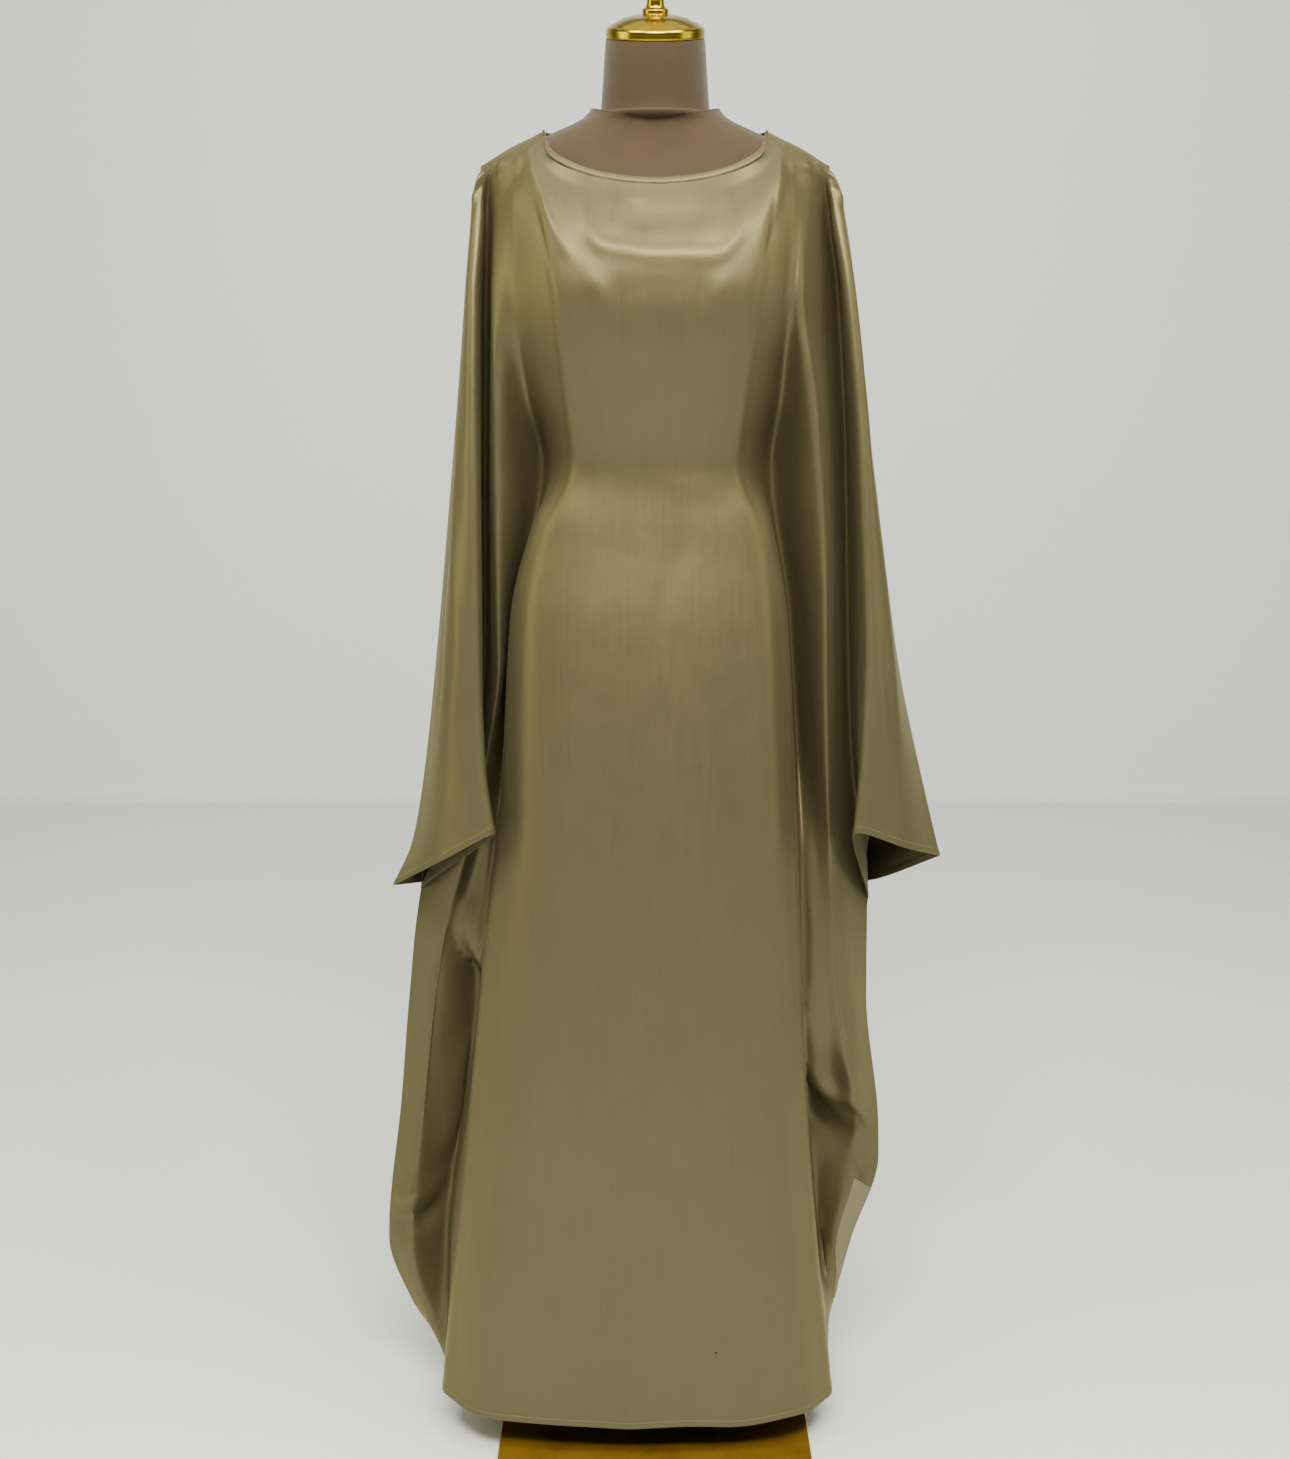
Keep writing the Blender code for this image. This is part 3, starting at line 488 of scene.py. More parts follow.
# Rows of the turned pieces: height above the neck's foot and radius, or radius and height
NECK_PROFILE = (
    (0.0, NECK_RADIUS + 0.0034),
    (0.0015, NECK_RADIUS + 0.0046),
    (0.0040, NECK_RADIUS + 0.0051),
    (0.0062, NECK_RADIUS + 0.0044),
    (0.0074, NECK_RADIUS + 0.0020),
    (0.0090, NECK_RADIUS + 0.0010),
    (0.0200, NECK_RADIUS + 0.0002),
    (0.0400, NECK_RADIUS - 0.0015),
    (0.0620, NECK_RADIUS - 0.0030),
    (0.0780, NECK_RADIUS - 0.0044),
    (NECK_TOP_HEIGHT - TORSO_TOP - SEAM_GAP, NECK_RADIUS - 0.0052),
)
CAP_PROFILE = (
    (CAP_RADIUS - 0.0010, 0.0000),
    (CAP_RADIUS, 0.0012),
    (CAP_RADIUS + 0.0002, 0.0050),
    (CAP_RADIUS, 0.0085),
    (CAP_RADIUS - 0.0018, 0.0112),
    (CAP_RADIUS - 0.0030, 0.0118),
    (CAP_RADIUS - 0.0080, 0.0150),
    (CAP_RADIUS * 0.62, 0.0205),
    (CAP_RADIUS * 0.36, 0.0235),
    (0.0138, 0.0245),
    (0.0140, 0.0270),
    (0.0135, 0.0290),
    (0.0105, 0.0310),
    (0.0092, 0.0350),
    (0.0095, 0.0400),
    (0.0110, 0.0430),
    (0.0150, 0.0470),
    (0.0170, 0.0540),
    (0.0150, 0.0610),
    (0.0090, 0.0660),
    (0.0030, 0.0680),
)
POLE_JOINT = 0.42  # height of the groove where the pole's upper tube slides in

# Creases: side (0 for both), width, height (a trough is negative), then (fold line, height) points
FRONT_CREASES = (
    (-1, 0.012, -0.0022, ((3.5, 1.432), (2.7, 1.375), (2.2, 1.325))),
    (1, 0.012, -0.0018, ((3.4, 1.430), (2.8, 1.380), (2.3, 1.330))),
    (-1, 0.009, 0.0016, ((2.6, 1.425), (2.0, 1.370), (1.5, 1.335))),
    (1, 0.007, 0.0018, ((3.0, 1.440), (2.9, 1.405), (2.7, 1.370))),
    (
        1,
        0.009,
        0.0024,
        (
            (-1.15, 1.418),
            (-1.17, 1.385),
            (-1.00, 1.357),
            (-0.40, 1.348),
            (0.40, 1.345),
            (1.20, 1.347),
            (1.52, 1.366),
            (1.45, 1.405),
        ),
    ),
    (-1, 0.005, 0.0009, ((0.62, 1.412), (0.66, 1.384), (0.72, 1.360))),
    (1, 0.020, -0.0018, ((-0.70, 1.387), (0.20, 1.382), (1.00, 1.387))),
    (1, 0.016, -0.0022, ((-1.30, 1.322), (0.10, 1.312), (1.50, 1.322))),
    (1, 0.007, -0.0012, ((-0.30, 1.405), (-0.25, 1.385), (-0.28, 1.365))),
    (-1, 0.013, 0.0014, ((1.30, 1.330), (0.92, 1.300), (0.86, 1.268))),
    (-1, 0.009, -0.0014, ((0.60, 1.318), (0.70, 1.288), (0.72, 1.262))),
    (1, 0.013, 0.0011, ((1.40, 1.330), (1.10, 1.302), (1.02, 1.275))),
    (1, 0.009, -0.0014, ((0.75, 1.318), (0.82, 1.290), (0.86, 1.266))),
    (-1, 0.014, -0.0016, ((2.0, 1.290), (1.75, 1.215), (1.7, 1.150))),
    (1, 0.013, -0.0018, ((2.1, 1.285), (1.85, 1.215), (1.8, 1.150))),
    (-1, 0.012, 0.0014, ((1.2, 1.240), (1.0, 1.180), (0.95, 1.130))),
    (1, 0.012, 0.0013, ((0.6, 1.225), (0.5, 1.170), (0.6, 1.130))),
    (0, 0.010, -0.0006, ((0.0, 1.1235), (0.9, 1.1225), (1.9, 1.119), (2.7, 1.116))),
    (1, 0.010, 0.0012, ((0.2, 1.109), (1.0, 1.106), (1.9, 1.104))),
    (-1, 0.022, 0.0022, ((1.1, 1.020), (1.25, 0.860), (1.3, 0.640), (1.2, 0.420))),
    (-1, 0.018, -0.0018, ((0.5, 0.960), (0.6, 0.760), (0.55, 0.520))),
    (-1, 0.024, -0.0020, ((2.0, 0.900), (2.1, 0.700), (2.0, 0.380), (1.9, 0.160))),
    (1, 0.022, 0.0020, ((0.5, 0.900), (0.65, 0.680), (0.6, 0.420), (0.7, 0.150))),
    (1, 0.020, -0.0020, ((1.3, 1.020), (1.35, 0.780), (1.5, 0.520), (1.4, 0.260))),
    (1, 0.018, 0.0022, ((2.0, 1.040), (2.1, 0.840), (2.15, 0.600))),
    (1, 0.012, -0.0012, ((0.55, 1.075), (0.2, 0.990), (-0.1, 0.930))),
    (-1, 0.020, 0.0018, ((0.3, 0.420), (0.25, 0.260), (0.3, 0.120))),
    (1, 0.016, -0.0016, ((2.2, 0.420), (2.3, 0.260), (2.3, 0.120))),
    (-1, 0.016, 0.0016, ((2.4, 0.300), (2.5, 0.180), (2.4, 0.090))),
    (-1, 0.010, 0.0012, ((4.55, 1.360), (4.60, 1.220), (4.55, 1.060))),
    (1, 0.010, 0.0012, ((4.50, 1.350), (4.55, 1.200), (4.60, 1.000))),
    (1, 0.007, -0.0016, ((5.30, 1.300), (5.35, 1.100), (5.35, 0.900), (5.3, 0.760))),
    (1, 0.008, 0.0014, ((5.60, 1.280), (5.62, 1.080), (5.6, 0.880))),
    (-1, 0.011, 0.0020, ((7.9, 1.240), (8.0, 1.050), (7.8, 0.880), (7.6, 0.760))),
    (-1, 0.009, -0.0018, ((8.4, 1.140), (8.45, 0.960), (8.4, 0.800))),
    (1, 0.011, 0.0018, ((7.7, 1.200), (7.9, 1.010), (8.1, 0.850), (8.0, 0.760))),
    (1, 0.009, -0.0022, ((8.3, 1.280), (8.5, 1.060), (8.6, 0.870))),
    (1, 0.010, 0.0022, ((7.4, 0.960), (7.6, 0.850), (7.7, 0.760))),
    (-1, 0.015, -0.0095, ((5.97, 0.232), (5.5, 0.222), (5.0, 0.224), (4.2, 0.240))),
    (-1, 0.014, 0.0055, ((5.9, 0.262), (5.4, 0.250), (4.9, 0.256), (4.3, 0.272))),
    (-1, 0.010, 0.0022, ((5.4, 0.650), (4.5, 0.604), (3.9, 0.566), (3.3, 0.538))),
    (-1, 0.014, -0.0060, ((4.6, 0.560), (4.0, 0.500), (3.6, 0.420), (3.5, 0.320))),
    (-1, 0.016, -0.0070, ((5.0, 0.620), (5.0, 0.450), (5.0, 0.300))),
    (-1, 0.020, 0.0080, ((4.4, 0.460), (4.4, 0.360), (4.4, 0.280))),
    (-1, 0.012, 0.0024, ((5.4, 0.520), (5.35, 0.420), (5.1, 0.320))),
    (-1, 0.009, -0.0024, ((5.7, 0.560), (5.65, 0.430), (5.6, 0.300))),
    (1, 0.0050, 0.0075, ((3.12, 0.540), (3.35, 0.524), (3.65, 0.533))),
    (1, 0.006, -0.0050, ((3.2, 0.522), (3.5, 0.506), (3.9, 0.510))),
    (1, 0.014, -0.0060, ((5.0, 0.760), (5.0, 0.600), (5.0, 0.430))),
    (1, 0.012, -0.0024, ((4.2, 0.640), (4.1, 0.570), (3.8, 0.520))),
    (1, 0.010, 0.0050, ((3.3, 0.440), (4.1, 0.412), (4.9, 0.380), (5.9, 0.338))),
    (1, 0.020, -0.0070, ((3.5, 0.370), (4.3, 0.345), (5.0, 0.325), (5.5, 0.305))),
    (1, 0.007, -0.0050, ((5.95, 0.296), (5.6, 0.290), (5.2, 0.296))),
    (1, 0.010, 0.0030, ((4.6, 0.290), (4.4, 0.240), (4.3, 0.180))),
    (1, 0.012, 0.0040, ((5.0, 0.290), (4.8, 0.230), (4.7, 0.160))),
)
BACK_CREASES = (
    (0, 0.013, -0.0020, ((3.4, 1.425), (2.7, 1.370), (2.2, 1.300))),
    (-1, 0.010, 0.0018, ((2.5, 1.400), (1.9, 1.340), (1.6, 1.260))),
    (1, 0.010, 0.0016, ((1.9, 1.390), (1.5, 1.320), (1.4, 1.240))),
    (0, 0.016, -0.0018, ((1.5, 1.280), (1.2, 1.200), (1.1, 1.130))),
    (0, 0.010, -0.0015, ((0.0, 1.120), (1.0, 1.118), (2.0, 1.114), (2.7, 1.112))),
    (-1, 0.020, 0.0024, ((0.9, 1.040), (1.1, 0.820), (1.2, 0.560), (1.1, 0.300))),
    (1, 0.020, 0.0022, ((1.2, 1.020), (1.1, 0.780), (1.3, 0.520), (1.2, 0.200))),
    (-1, 0.018, -0.0022, ((1.9, 0.980), (2.0, 0.700), (1.9, 0.400), (2.0, 0.140))),
    (1, 0.018, -0.0020, ((1.8, 0.900), (1.9, 0.640), (2.1, 0.340))),
    (1, 0.016, -0.0018, ((0.3, 0.860), (0.4, 0.560), (0.3, 0.260))),
    (-1, 0.016, 0.0016, ((0.2, 0.620), (0.3, 0.380), (0.25, 0.120))),
    (0, 0.010, 0.0022, ((4.5, 1.340), (4.55, 1.100), (4.5, 0.900))),
    (0, 0.010, -0.0022, ((7.5, 1.240), (7.6, 1.020), (7.5, 0.820))),
    (-1, 0.010, 0.0020, ((8.3, 1.180), (8.4, 0.940), (8.3, 0.740))),
    (1, 0.010, 0.0022, ((8.2, 1.260), (8.35, 1.000), (8.4, 0.800))),
    (-1, 0.010, -0.0030, ((5.8, 0.200), (5.2, 0.185), (4.4, 0.200))),
    (1, 0.010, -0.0028, ((5.8, 0.345), (5.3, 0.330), (4.6, 0.350))),
    (0, 0.014, 0.0026, ((5.4, 0.620), (5.2, 0.480), (4.8, 0.340))),
    (0, 0.014, -0.0022, ((4.6, 0.660), (4.4, 0.500), (4.2, 0.300))),
    (-1, 0.0050, 0.0056, ((6.35, 0.632), (6.45, 0.655), (6.5, 0.690))),
    (-1, 0.0045, -0.0058, ((6.62, 0.626), (6.72, 0.655), (6.75, 0.685))),
    (-1, 0.0045, 0.0054, ((6.92, 0.624), (7.0, 0.650), (7.0, 0.700))),
    (-1, 0.0055, -0.0050, ((7.25, 0.625), (7.3, 0.650), (7.35, 0.690))),
    (-1, 0.0050, 0.0048, ((7.6, 0.628), (7.6, 0.660), (7.65, 0.705))),
    (-1, 0.0060, -0.0030, ((8.0, 0.630), (8.0, 0.660), (7.95, 0.700))),
    (-1, 0.0060, 0.0026, ((8.4, 0.632), (8.4, 0.665), (8.35, 0.700))),
    (1, 0.0080, 0.0024, ((6.6, 0.630), (6.8, 0.670), (6.9, 0.740))),
    (1, 0.0080, -0.0022, ((7.6, 0.640), (7.7, 0.690), (7.6, 0.750))),
)
# Slight dips and rises of the hem: place on X, rise
HEM_WAVE = (
    (-0.25, 0.002),
    (-0.20, -0.001),
    (-0.12, 0.000),
    (-0.03, -0.002),
    (0.04, 0.001),
    (0.10, -0.002),
    (0.16, 0.002),
    (0.21, -0.001),
)
WAVE_WIDTH = 0.03
WAVE_HEIGHT = 0.25  # above the hem, over which the waves fade
BELOW_CUFFS = 0.35

# Colours
SATIN = (0.127, 0.110, 0.062)
SATIN_DEEP = (0.088, 0.076, 0.041)
REVERSE = (0.130, 0.112, 0.064)
REVERSE_DEEP = (0.084, 0.071, 0.038)
FACING = (0.215, 0.195, 0.130)
FACING_DEEP = (0.130, 0.115, 0.072)
JERSEY = (0.056, 0.033, 0.0165)
JERSEY_DEEP = (0.031, 0.0175, 0.008)
GOLD = (0.50, 0.35, 0.016)
GOLD_DEEP = (0.27, 0.17, 0.008)
# The base plate's gold, darkened and browned to the tone it shows in the skirt's shade and the dark skirt
# it mirrors: painted shade
BASE_GOLD_PAINTED_SHADE = (0.30, 0.165, 0.018)
BASE_GOLD_PAINTED_SHADE_DEEP = (0.15, 0.075, 0.007)
THREAD = (0.27, 0.23, 0.13)
THREAD_DEEP = (0.17, 0.14, 0.07)
PAPER = (0.755, 0.785, 0.835)
PAPER_DEEP = (0.715, 0.75, 0.80)
AIR_TINT = (0.93, 0.96, 1.0, 1)

# Finishes: roughness, metallic and coarseness of the weave, or roughness, smears and metallic
SATIN_FINISH = (0.43, 0.56, 1.0)
REVERSE_FINISH = (0.56, 0.15, 1.4)
BINDING_FINISH = (0.42, 0.40, 1.0)
FACING_FINISH = (0.50, 0.15, 1.6)
GOLD_FINISH = (0.20, 0.12, 1.0)
BASE_FINISH = (0.17, 0.12, 0.50)
SATIN_SHEEN = 0.04

# A dark speck low on the skirt: its place, with the depth counted as a tenth, and its radius
SPECK = (0.069, -0.0158, 0.136)
SPECK_RADIUS = 0.0017
SPECK_COLOUR = (0.012, 0.008, 0.006, 1)

# The cut, the stitching, the studio and the camera
STITCH_LINE = 0.0072
FACING_LOW = 0.112
FACING_HIGH = 0.262
FACING_WIDTH = 0.027
FACING_COLUMNS = 8
WALL_PLACE = 3.19
WALL_TOP = 5.0
WALL_HALF_WIDTH = 6.0
FLOOR_FRONT = -4.5
SWEEP = 0.05
AIR = 0.15
# Lights: name, place, target, size, power, colour
LIGHTS = (
    ("softbox", (0.08, -2.45, 3.25), (0, -0.1, 1.35), (1.8, 0.7), 205, (1.0, 0.97, 0.77)),
    ("left softbox", (-1.30, -1.15, 3.15), (-0.1, -0.05, 1.35), (1.0, 0.8), 50, (1.0, 0.97, 0.76)),
    ("right softbox", (1.30, -1.15, 3.15), (0.1, -0.05, 1.35), (1.0, 0.8), 58, (1.0, 0.97, 0.76)),
    ("ceiling", (0.0, -0.6, 3.9), (0, 0, 0.8), (3.4, 3.0), 46, (0.97, 0.98, 1.0)),
    ("left window", (-2.7, -0.5, 1.7), (0, 0, 0.9), (1.2, 2.2), 35, (1.0, 0.97, 0.45)),
    ("right window", (2.7, -0.6, 1.9), (0, 0, 0.9), (1.4, 2.2), 24, (1.0, 0.98, 0.62)),
    ("wall wash", (0.0, 1.2, 3.9), (0, 3.1, 1.2), (4.5, 1.0), 22, (0.96, 0.985, 1.0)),
)
CAMERA_PLACE = (-0.011, -2.2428, 1.2575)
CAMERA_DOWN = 11.02
SENSOR = 36
PHOTO_HEIGHT = 1459  # pixels
FOCAL_PIXELS = 2000
CAMERA_LENS = FOCAL_PIXELS / PHOTO_HEIGHT * SENSOR


def along(table, height, column=1):
    """The value of one column of a table at a height, on a smooth curve that never overshoots."""
    rows = sorted(table)
    heights = [row[0] for row in rows]
    values = [row[column] for row in rows]
    if height <= heights[0]:
        return values[0]
    if height >= heights[-1]:
        return values[-1]
    slopes = [
        (values[i + 1] - values[i]) / (heights[i + 1] - heights[i])
        for i in range(len(rows) - 1)
    ]
    span = next(i for i in range(len(slopes)) if height <= heights[i + 1])

    def tangent(i):
        if i == 0 or i == len(slopes):
            return slopes[min(i, len(slopes) - 1)]
        before, after = slopes[i - 1], slopes[i]
        if before * after <= 0:
            return 0.0
        return 2 * before * after / (before + after)

    width = heights[span + 1] - heights[span]
    t = (height - heights[span]) / width
    start = (1 + 2 * t) * (1 - t) ** 2 * values[span] + t * (1 - t) ** 2 * width * tangent(span)
    end = t * t * (3 - 2 * t) * values[span + 1] + t * t * (t - 1) * width * tangent(span + 1)
    return start + end


def smooth_step(value):
    value = min(1.0, max(0.0, value))
    return value * value * (3 - 2 * value)


def depth_over_form(out, height, facing):
    """Depth at a distance out of the oval that the cloth rests on, in front of the form or behind."""
    squareness = along(TORSO, height, 4)
    share = min(1.0, out / (along(TORSO, height) + RIDGE_LIFT))
    reach = abs(along(TORSO, height, 2 if facing < 0 else 3)) + NECKLINE_LIFT
    return facing * reach * (1 - share**squareness) ** (1 / squareness)


def neckline(turn, facing):
    """Point of the neckline, turn degrees from its middle towards one side, just clear of the form."""
    angle = math.radians(turn)
    drop = NECK_FRONT_DROP if facing < 0 else NECK_BACK_DROP
    height = NECK_SIDE_HEIGHT - drop * math.cos(angle)
    out = NECK_HALF_WIDTH * math.sin(angle)
    depth = depth_over_form(out, height, facing)
    return Vector((out, depth, height))


def on_shoulder_seam(share):
    """Point of the shoulder seam, from the neckline at 0 to the shoulder's end at 1."""
    out = NECK_HALF_WIDTH + share * (SHOULDER_OUT - NECK_HALF_WIDTH)
    height = NECK_SIDE_HEIGHT + share * (SHOULDER_HEIGHT - NECK_SIDE_HEIGHT)
    return Vector((out, 0.0, height))


class FoldLine:
    """A line down the cloth: a start on the top edge, a knee at the cuff's row and an end at the hem."""

    def __init__(self, top, knee_height, facing, place):
        self.top = top
        along_shoulder = max(0.0, (top.x - NECK_HALF_WIDTH) / (SHOULDER_OUT - NECK_HALF_WIDTH))
        self.rest_height = REST_HEIGHT + along_shoulder * (REST_HEIGHT_AT_SHOULDER_END - REST_HEIGHT)
        self.knee_height = knee_height
        self.facing = facing
        self.place = place

    def at(self, down):
        """Point at a row, 0 at the top edge, 1 at the cuff's row and 2 at the hem."""
        if down <= 1:
            height = self.top.z + down * (self.knee_height - self.top.z)
        else:
            height = self.knee_height + (down - 1) * (HEM_HEIGHT - self.knee_height)
        out, depth = self.place(height)
        leave = smooth_step((self.top.z - height) / self.rest_height)
        spread = smooth_step((self.top.z - height) / REST_HEIGHT_AT_SHOULDER_END)
        out = self.top.x + (spread if self.top.y == 0 else leave) * (out - self.top.x)
        if not self.facing:
            return Vector((out, depth, height))
        resting = depth_over_form(out, height, self.facing)
        if self.top.y == 0:
            rounding = SHOULDER_ROUNDING * math.sqrt(self.top.z - height)
            resting = self.facing * max(rounding, min(abs(resting), 3 * rounding))
        return Vector((out, resting + leave * (depth - resting), height))


def table_line(top, knee_height, facing, table):
    return FoldLine(top, knee_height, facing, lambda z: (along(table, z), along(table, z, 2)))


def seam_line(top, table):
    return FoldLine(top, table[-1][0], 0, lambda z: (along(table, z), 0.0))


def front_lines(side):
    """Fold lines of one half of the front, from the centre line out to the outer seam."""
    column = 0 if side < 0 else 1
    edge = (LEFT_EDGE, RIGHT_EDGE)[column]
    tables = {
        "edge": edge,
        "valley": (LEFT_VALLEY, RIGHT_VALLEY)[column],
        "crest": (LEFT_CREST, RIGHT_CREST)[column],
        "slit": (LEFT_SLIT, RIGHT_SLIT)[column],
        "sleeve_crest": (LEFT_SLEEVE_CREST, RIGHT_SLEEVE_CREST)[column],
        "sleeve_front": (LEFT_SLEEVE_FRONT, RIGHT_SLEEVE_FRONT)[column],
    }

    def chest(share, bow):
        """A line between the centre and the body's edge, on a bowed front."""
        return lambda z: (
            share * along(edge, z),
            along(CENTRE_FRONT, z) + bow * (along(edge, z, 2) - along(CENTRE_FRONT, z)),
        )

    body = KNEE_HEIGHT["body"][column]
    lines = [
        FoldLine(neckline(0, -1), body, -1, chest(0.0, 0.0)),
        FoldLine(neckline(CHEST_TURN, -1), body, -1, chest(0.48, 0.08)),
        FoldLine(neckline(BREAST_TURN, -1), body, -1, chest(0.82, 0.36)),
    ]
    for name, table in tables.items():
        top = on_shoulder_seam(SHOULDER_SHARE[name])
        lines.append(table_line(top, KNEE_HEIGHT[name][column], -1, table))
    lines.append(seam_line(on_shoulder_seam(1), (LEFT_OUTER_SEAM, RIGHT_OUTER_SEAM)[column]))
    return lines


def back_lines(side):
    """Fold lines of one half of the back, from the centre line out to the outer seam."""
    column = 0 if side < 0 else 1
    outer = (LEFT_OUTER_SEAM, RIGHT_OUTER_SEAM)[column]
    slit = (LEFT_SLIT, RIGHT_SLIT)[column]
    seam_top = KNEE_HEIGHT["slit"][column]

    def reach(z):
        """The outer seam above the cuff, the side seam below it, and a blend between."""
        share = smooth_step((z - CUFF_LOW) / (CUFF_HIGH - CUFF_LOW))
        sleeve = along(outer, max(z, outer[-1][0]))
        return share * sleeve + (1 - share) * along(slit, min(z, seam_top))

    def fold(table):
        def place(z):
            body = along(BACK_BODY_OUT, z)
            return body + along(table, z) * (reach(z) - body), along(table, z, 2)

        return place

    def blade(share, bow):
        """A line between the centre and the body's edge, on a bowed back."""
        return lambda z: (
            share * along(BACK_BODY_OUT, z),
            along(CENTRE_BACK, z) + bow * (along(BACK_EDGE, z, 2) - along(CENTRE_BACK, z)),
        )

    def side_seam(z):
        """The back's slit, which turns into the side seam where the front's does."""
        if z <= seam_top:
            return along(slit, z), along(slit, z, 2)
        share = smooth_step((z - seam_top) / SEAM_BLEND)
        out, depth = fold(BACK_SLIT)(z)
        seam_out, seam_depth = along(slit, seam_top), along(slit, seam_top, 2)
        seam_depth += SLIT_PARTING * min(1.0, (z - seam_top) / SLIT_PARTED_BY)
        return seam_out + share * (out - seam_out), seam_depth + share * (depth - seam_depth)

    body = KNEE_HEIGHT["body"][2]
    lines = [
        FoldLine(neckline(0, 1), body, 1, blade(0.0, 0.0)),
        FoldLine(neckline(CHEST_TURN, 1), body, 1, blade(0.48, 0.08)),
        FoldLine(neckline(BREAST_TURN, 1), body, 1, blade(0.82, 0.36)),
    ]
    places = {
        "edge": fold(BACK_EDGE),
        "valley": fold(BACK_VALLEY),
        "crest": fold(BACK_CREST),
        "slit": side_seam,
        "sleeve_crest": fold(BACK_SLEEVE_CREST),
        "sleeve_front": fold(BACK_SLEEVE_FRONT),
    }
    for name, place in places.items():
        knee = KNEE_HEIGHT[name][2] or seam_top
        lines.append(FoldLine(on_shoulder_seam(SHOULDER_SHARE[name]), knee, 1, place))
    lines.append(seam_line(on_shoulder_seam(1), outer))
    return lines


def spline(a, b, c, d, t):
    """Point between b and c on a centripetal curve through four points."""
    ab = max(1e-6, (b - a).length) ** 0.5
    bc = max(1e-6, (c - b).length) ** 0.5
    cd = max(1e-6, (d - c).length) ** 0.5
    into = (c - b) - bc * ((c - a) / (ab + bc) - (b - a) / ab)
    out_of = (c - b) - bc * ((d - b) / (bc + cd) - (d - c) / cd)
    square, cube = t * t, t * t * t
    return (
        (2 * cube - 3 * square + 1) * b
        + (cube - 2 * square + t) * into
        + (3 * square - 2 * cube) * c
        + (cube - square) * out_of
    )


def rounded(before, point, after, radius, ease):
    """Three points of a fold of this radius, on its flanks and tip: a corner at ease 0, soft at 1."""
    back, on = before - point, after - point
    radius = min(radius, 0.4 * back.length, 0.4 * on.length)
    to_back, to_on = back.normalized(), on.normalized()
    across = (to_on - to_back).normalized()
    sunk = point + (to_back + to_on) * (0.35 * radius)
    flank_back = (point + to_back * radius).lerp(sunk - across * radius, ease)
    flank_on = (point + to_on * radius).lerp(sunk + across * radius, ease)
    return [flank_back, point, flank_on]


def rest_on(tree, point, clearance):
    """The point, moved out of the form to its clearance where it would lie inside or too near."""
    place, normal, _, _ = tree.find_nearest(point)
    height = (point - place).dot(normal)
    if height >= clearance:
        return point
    return point + normal * (clearance - height)


def torso_ring(height, count=36):
    """A section of the form: a rounded oval, deeper at the front over the bust."""
    half_width = along(TORSO, height)
    front = along(TORSO, height, 2)
    back = along(TORSO, height, 3)
    power = 2 / along(TORSO, height, 4)
    ring = []
    for i in range(count):
        angle = 2 * math.pi * i / count
        across, deep = math.cos(angle), math.sin(angle)
        reach = back if deep > 0 else -front
        x = half_width * math.copysign(abs(across) ** power, across)
        y = reach * math.copysign(abs(deep) ** power, deep)
        ring.append(Vector((x, y, height)))
    return ring


def neck_disc(height, radius, count=28):
    """A round section of the neck, which leans forward and whose top tilts to the front."""
    rise = (height - TORSO_TOP) / (NECK_TOP_HEIGHT - TORSO_TOP)
    middle = Vector((0, -NECK_LEAN * rise, height))
    tilt = NECK_TILT * min(1.0, max(0.0, rise))
    ring = []
    for i in range(count):
        angle = 2 * math.pi * i / count
        x, y = radius * math.cos(angle), radius * math.sin(angle)
        ring.append(middle + Vector((x, y * math.cos(tilt), y * math.sin(tilt))))
    return ring


def fine_rows():
    """Rows of the cloth: close over the shoulders, close again at the cuffs' and the skirt's hems."""
    rows = [0.0, 0.0008, 0.0018]
    for upper, lower in zip(SHARES_ABOVE_CUFF[1:], SHARES_ABOVE_CUFF[2:]):
        rows += [upper + (lower - upper) * step / FINE_ROWS for step in range(FINE_ROWS)]
    sleeve = SHOULDER_HEIGHT - CUFF_LOW
    skirt = KNEE_HEIGHT["body"][0] - HEM_HEIGHT
    above = [row for row in rows if row < 1 - NEAR_HEM[-1] / sleeve]
    above += [1 - near / sleeve for near in reversed(NEAR_HEM)] + [1.0]
    below = [1 + (i + 1) / ROWS_OF_SKIRT for i in range(ROWS_OF_SKIRT)]
    below = [row for row in below if row < 2 - NEAR_HEM[-1] / skirt]
    return above, below + [2 - near / skirt for near in reversed(NEAR_HEM)] + [2.0]


def half_section(lines, folds, down, last):
    """Points of one half of a row, from the centre line to fold line number last."""
    tips = [line.at(down) for line in lines[: last + 1]]
    ease = min(1.0, down / FOLDS_SOFT_BY)
    seam_top = 1 - (1 - SOFTNESS_AT_SEAM_TOP) * smooth_step((down - 0.95) / 0.05)
    knots, spans = [tips[0]], [folds[0][2]]
    for i in range(1, last + 1):
        _, radius, span = folds[i]
        if not radius:
            knots.append(tips[i])
            spans.append(span)
        elif i < last:
            softness = min(ease, seam_top) if i == SLIT else ease
            knots += rounded(tips[i - 1], tips[i], tips[i + 1], radius, softness)
            spans += [1, 1, span]
        else:
            flank = tips[i].lerp(tips[i - 1], min(0.4, 2 * radius / (tips[i] - tips[i - 1]).length))
            knots += [flank, tips[i]]
            spans += [1, 0]
    mirrored = Vector((-knots[1].x, knots[1].y, knots[1].z))
    padded = [mirrored, *knots, knots[-1] + 0.4 * (knots[-1] - knots[-2])]
    points = []
    for i in range(len(knots) - 1):
        steps = spans[i] * REFINE
        for step in range(steps):
            points.append(spline(*padded[i : i + 4], step / steps))
    return [*points, knots[-1]]


def column_of(folds, line):
    """Fine columns between the centre line and a fold line, whose number may lie between two."""

    def to(last):
        rounding = sum(2 for _, radius, _ in folds[1:last] if radius)
        columns = sum(span for _, _, span in folds[:last]) + rounding
        return REFINE * (columns + (1 if folds[last][1] else 0))

    low = min(int(abs(line)), len(folds) - 2)
    columns = to(low) + (abs(line) - low) * (to(low + 1) - to(low))
    return int(round(math.copysign(columns, line)))


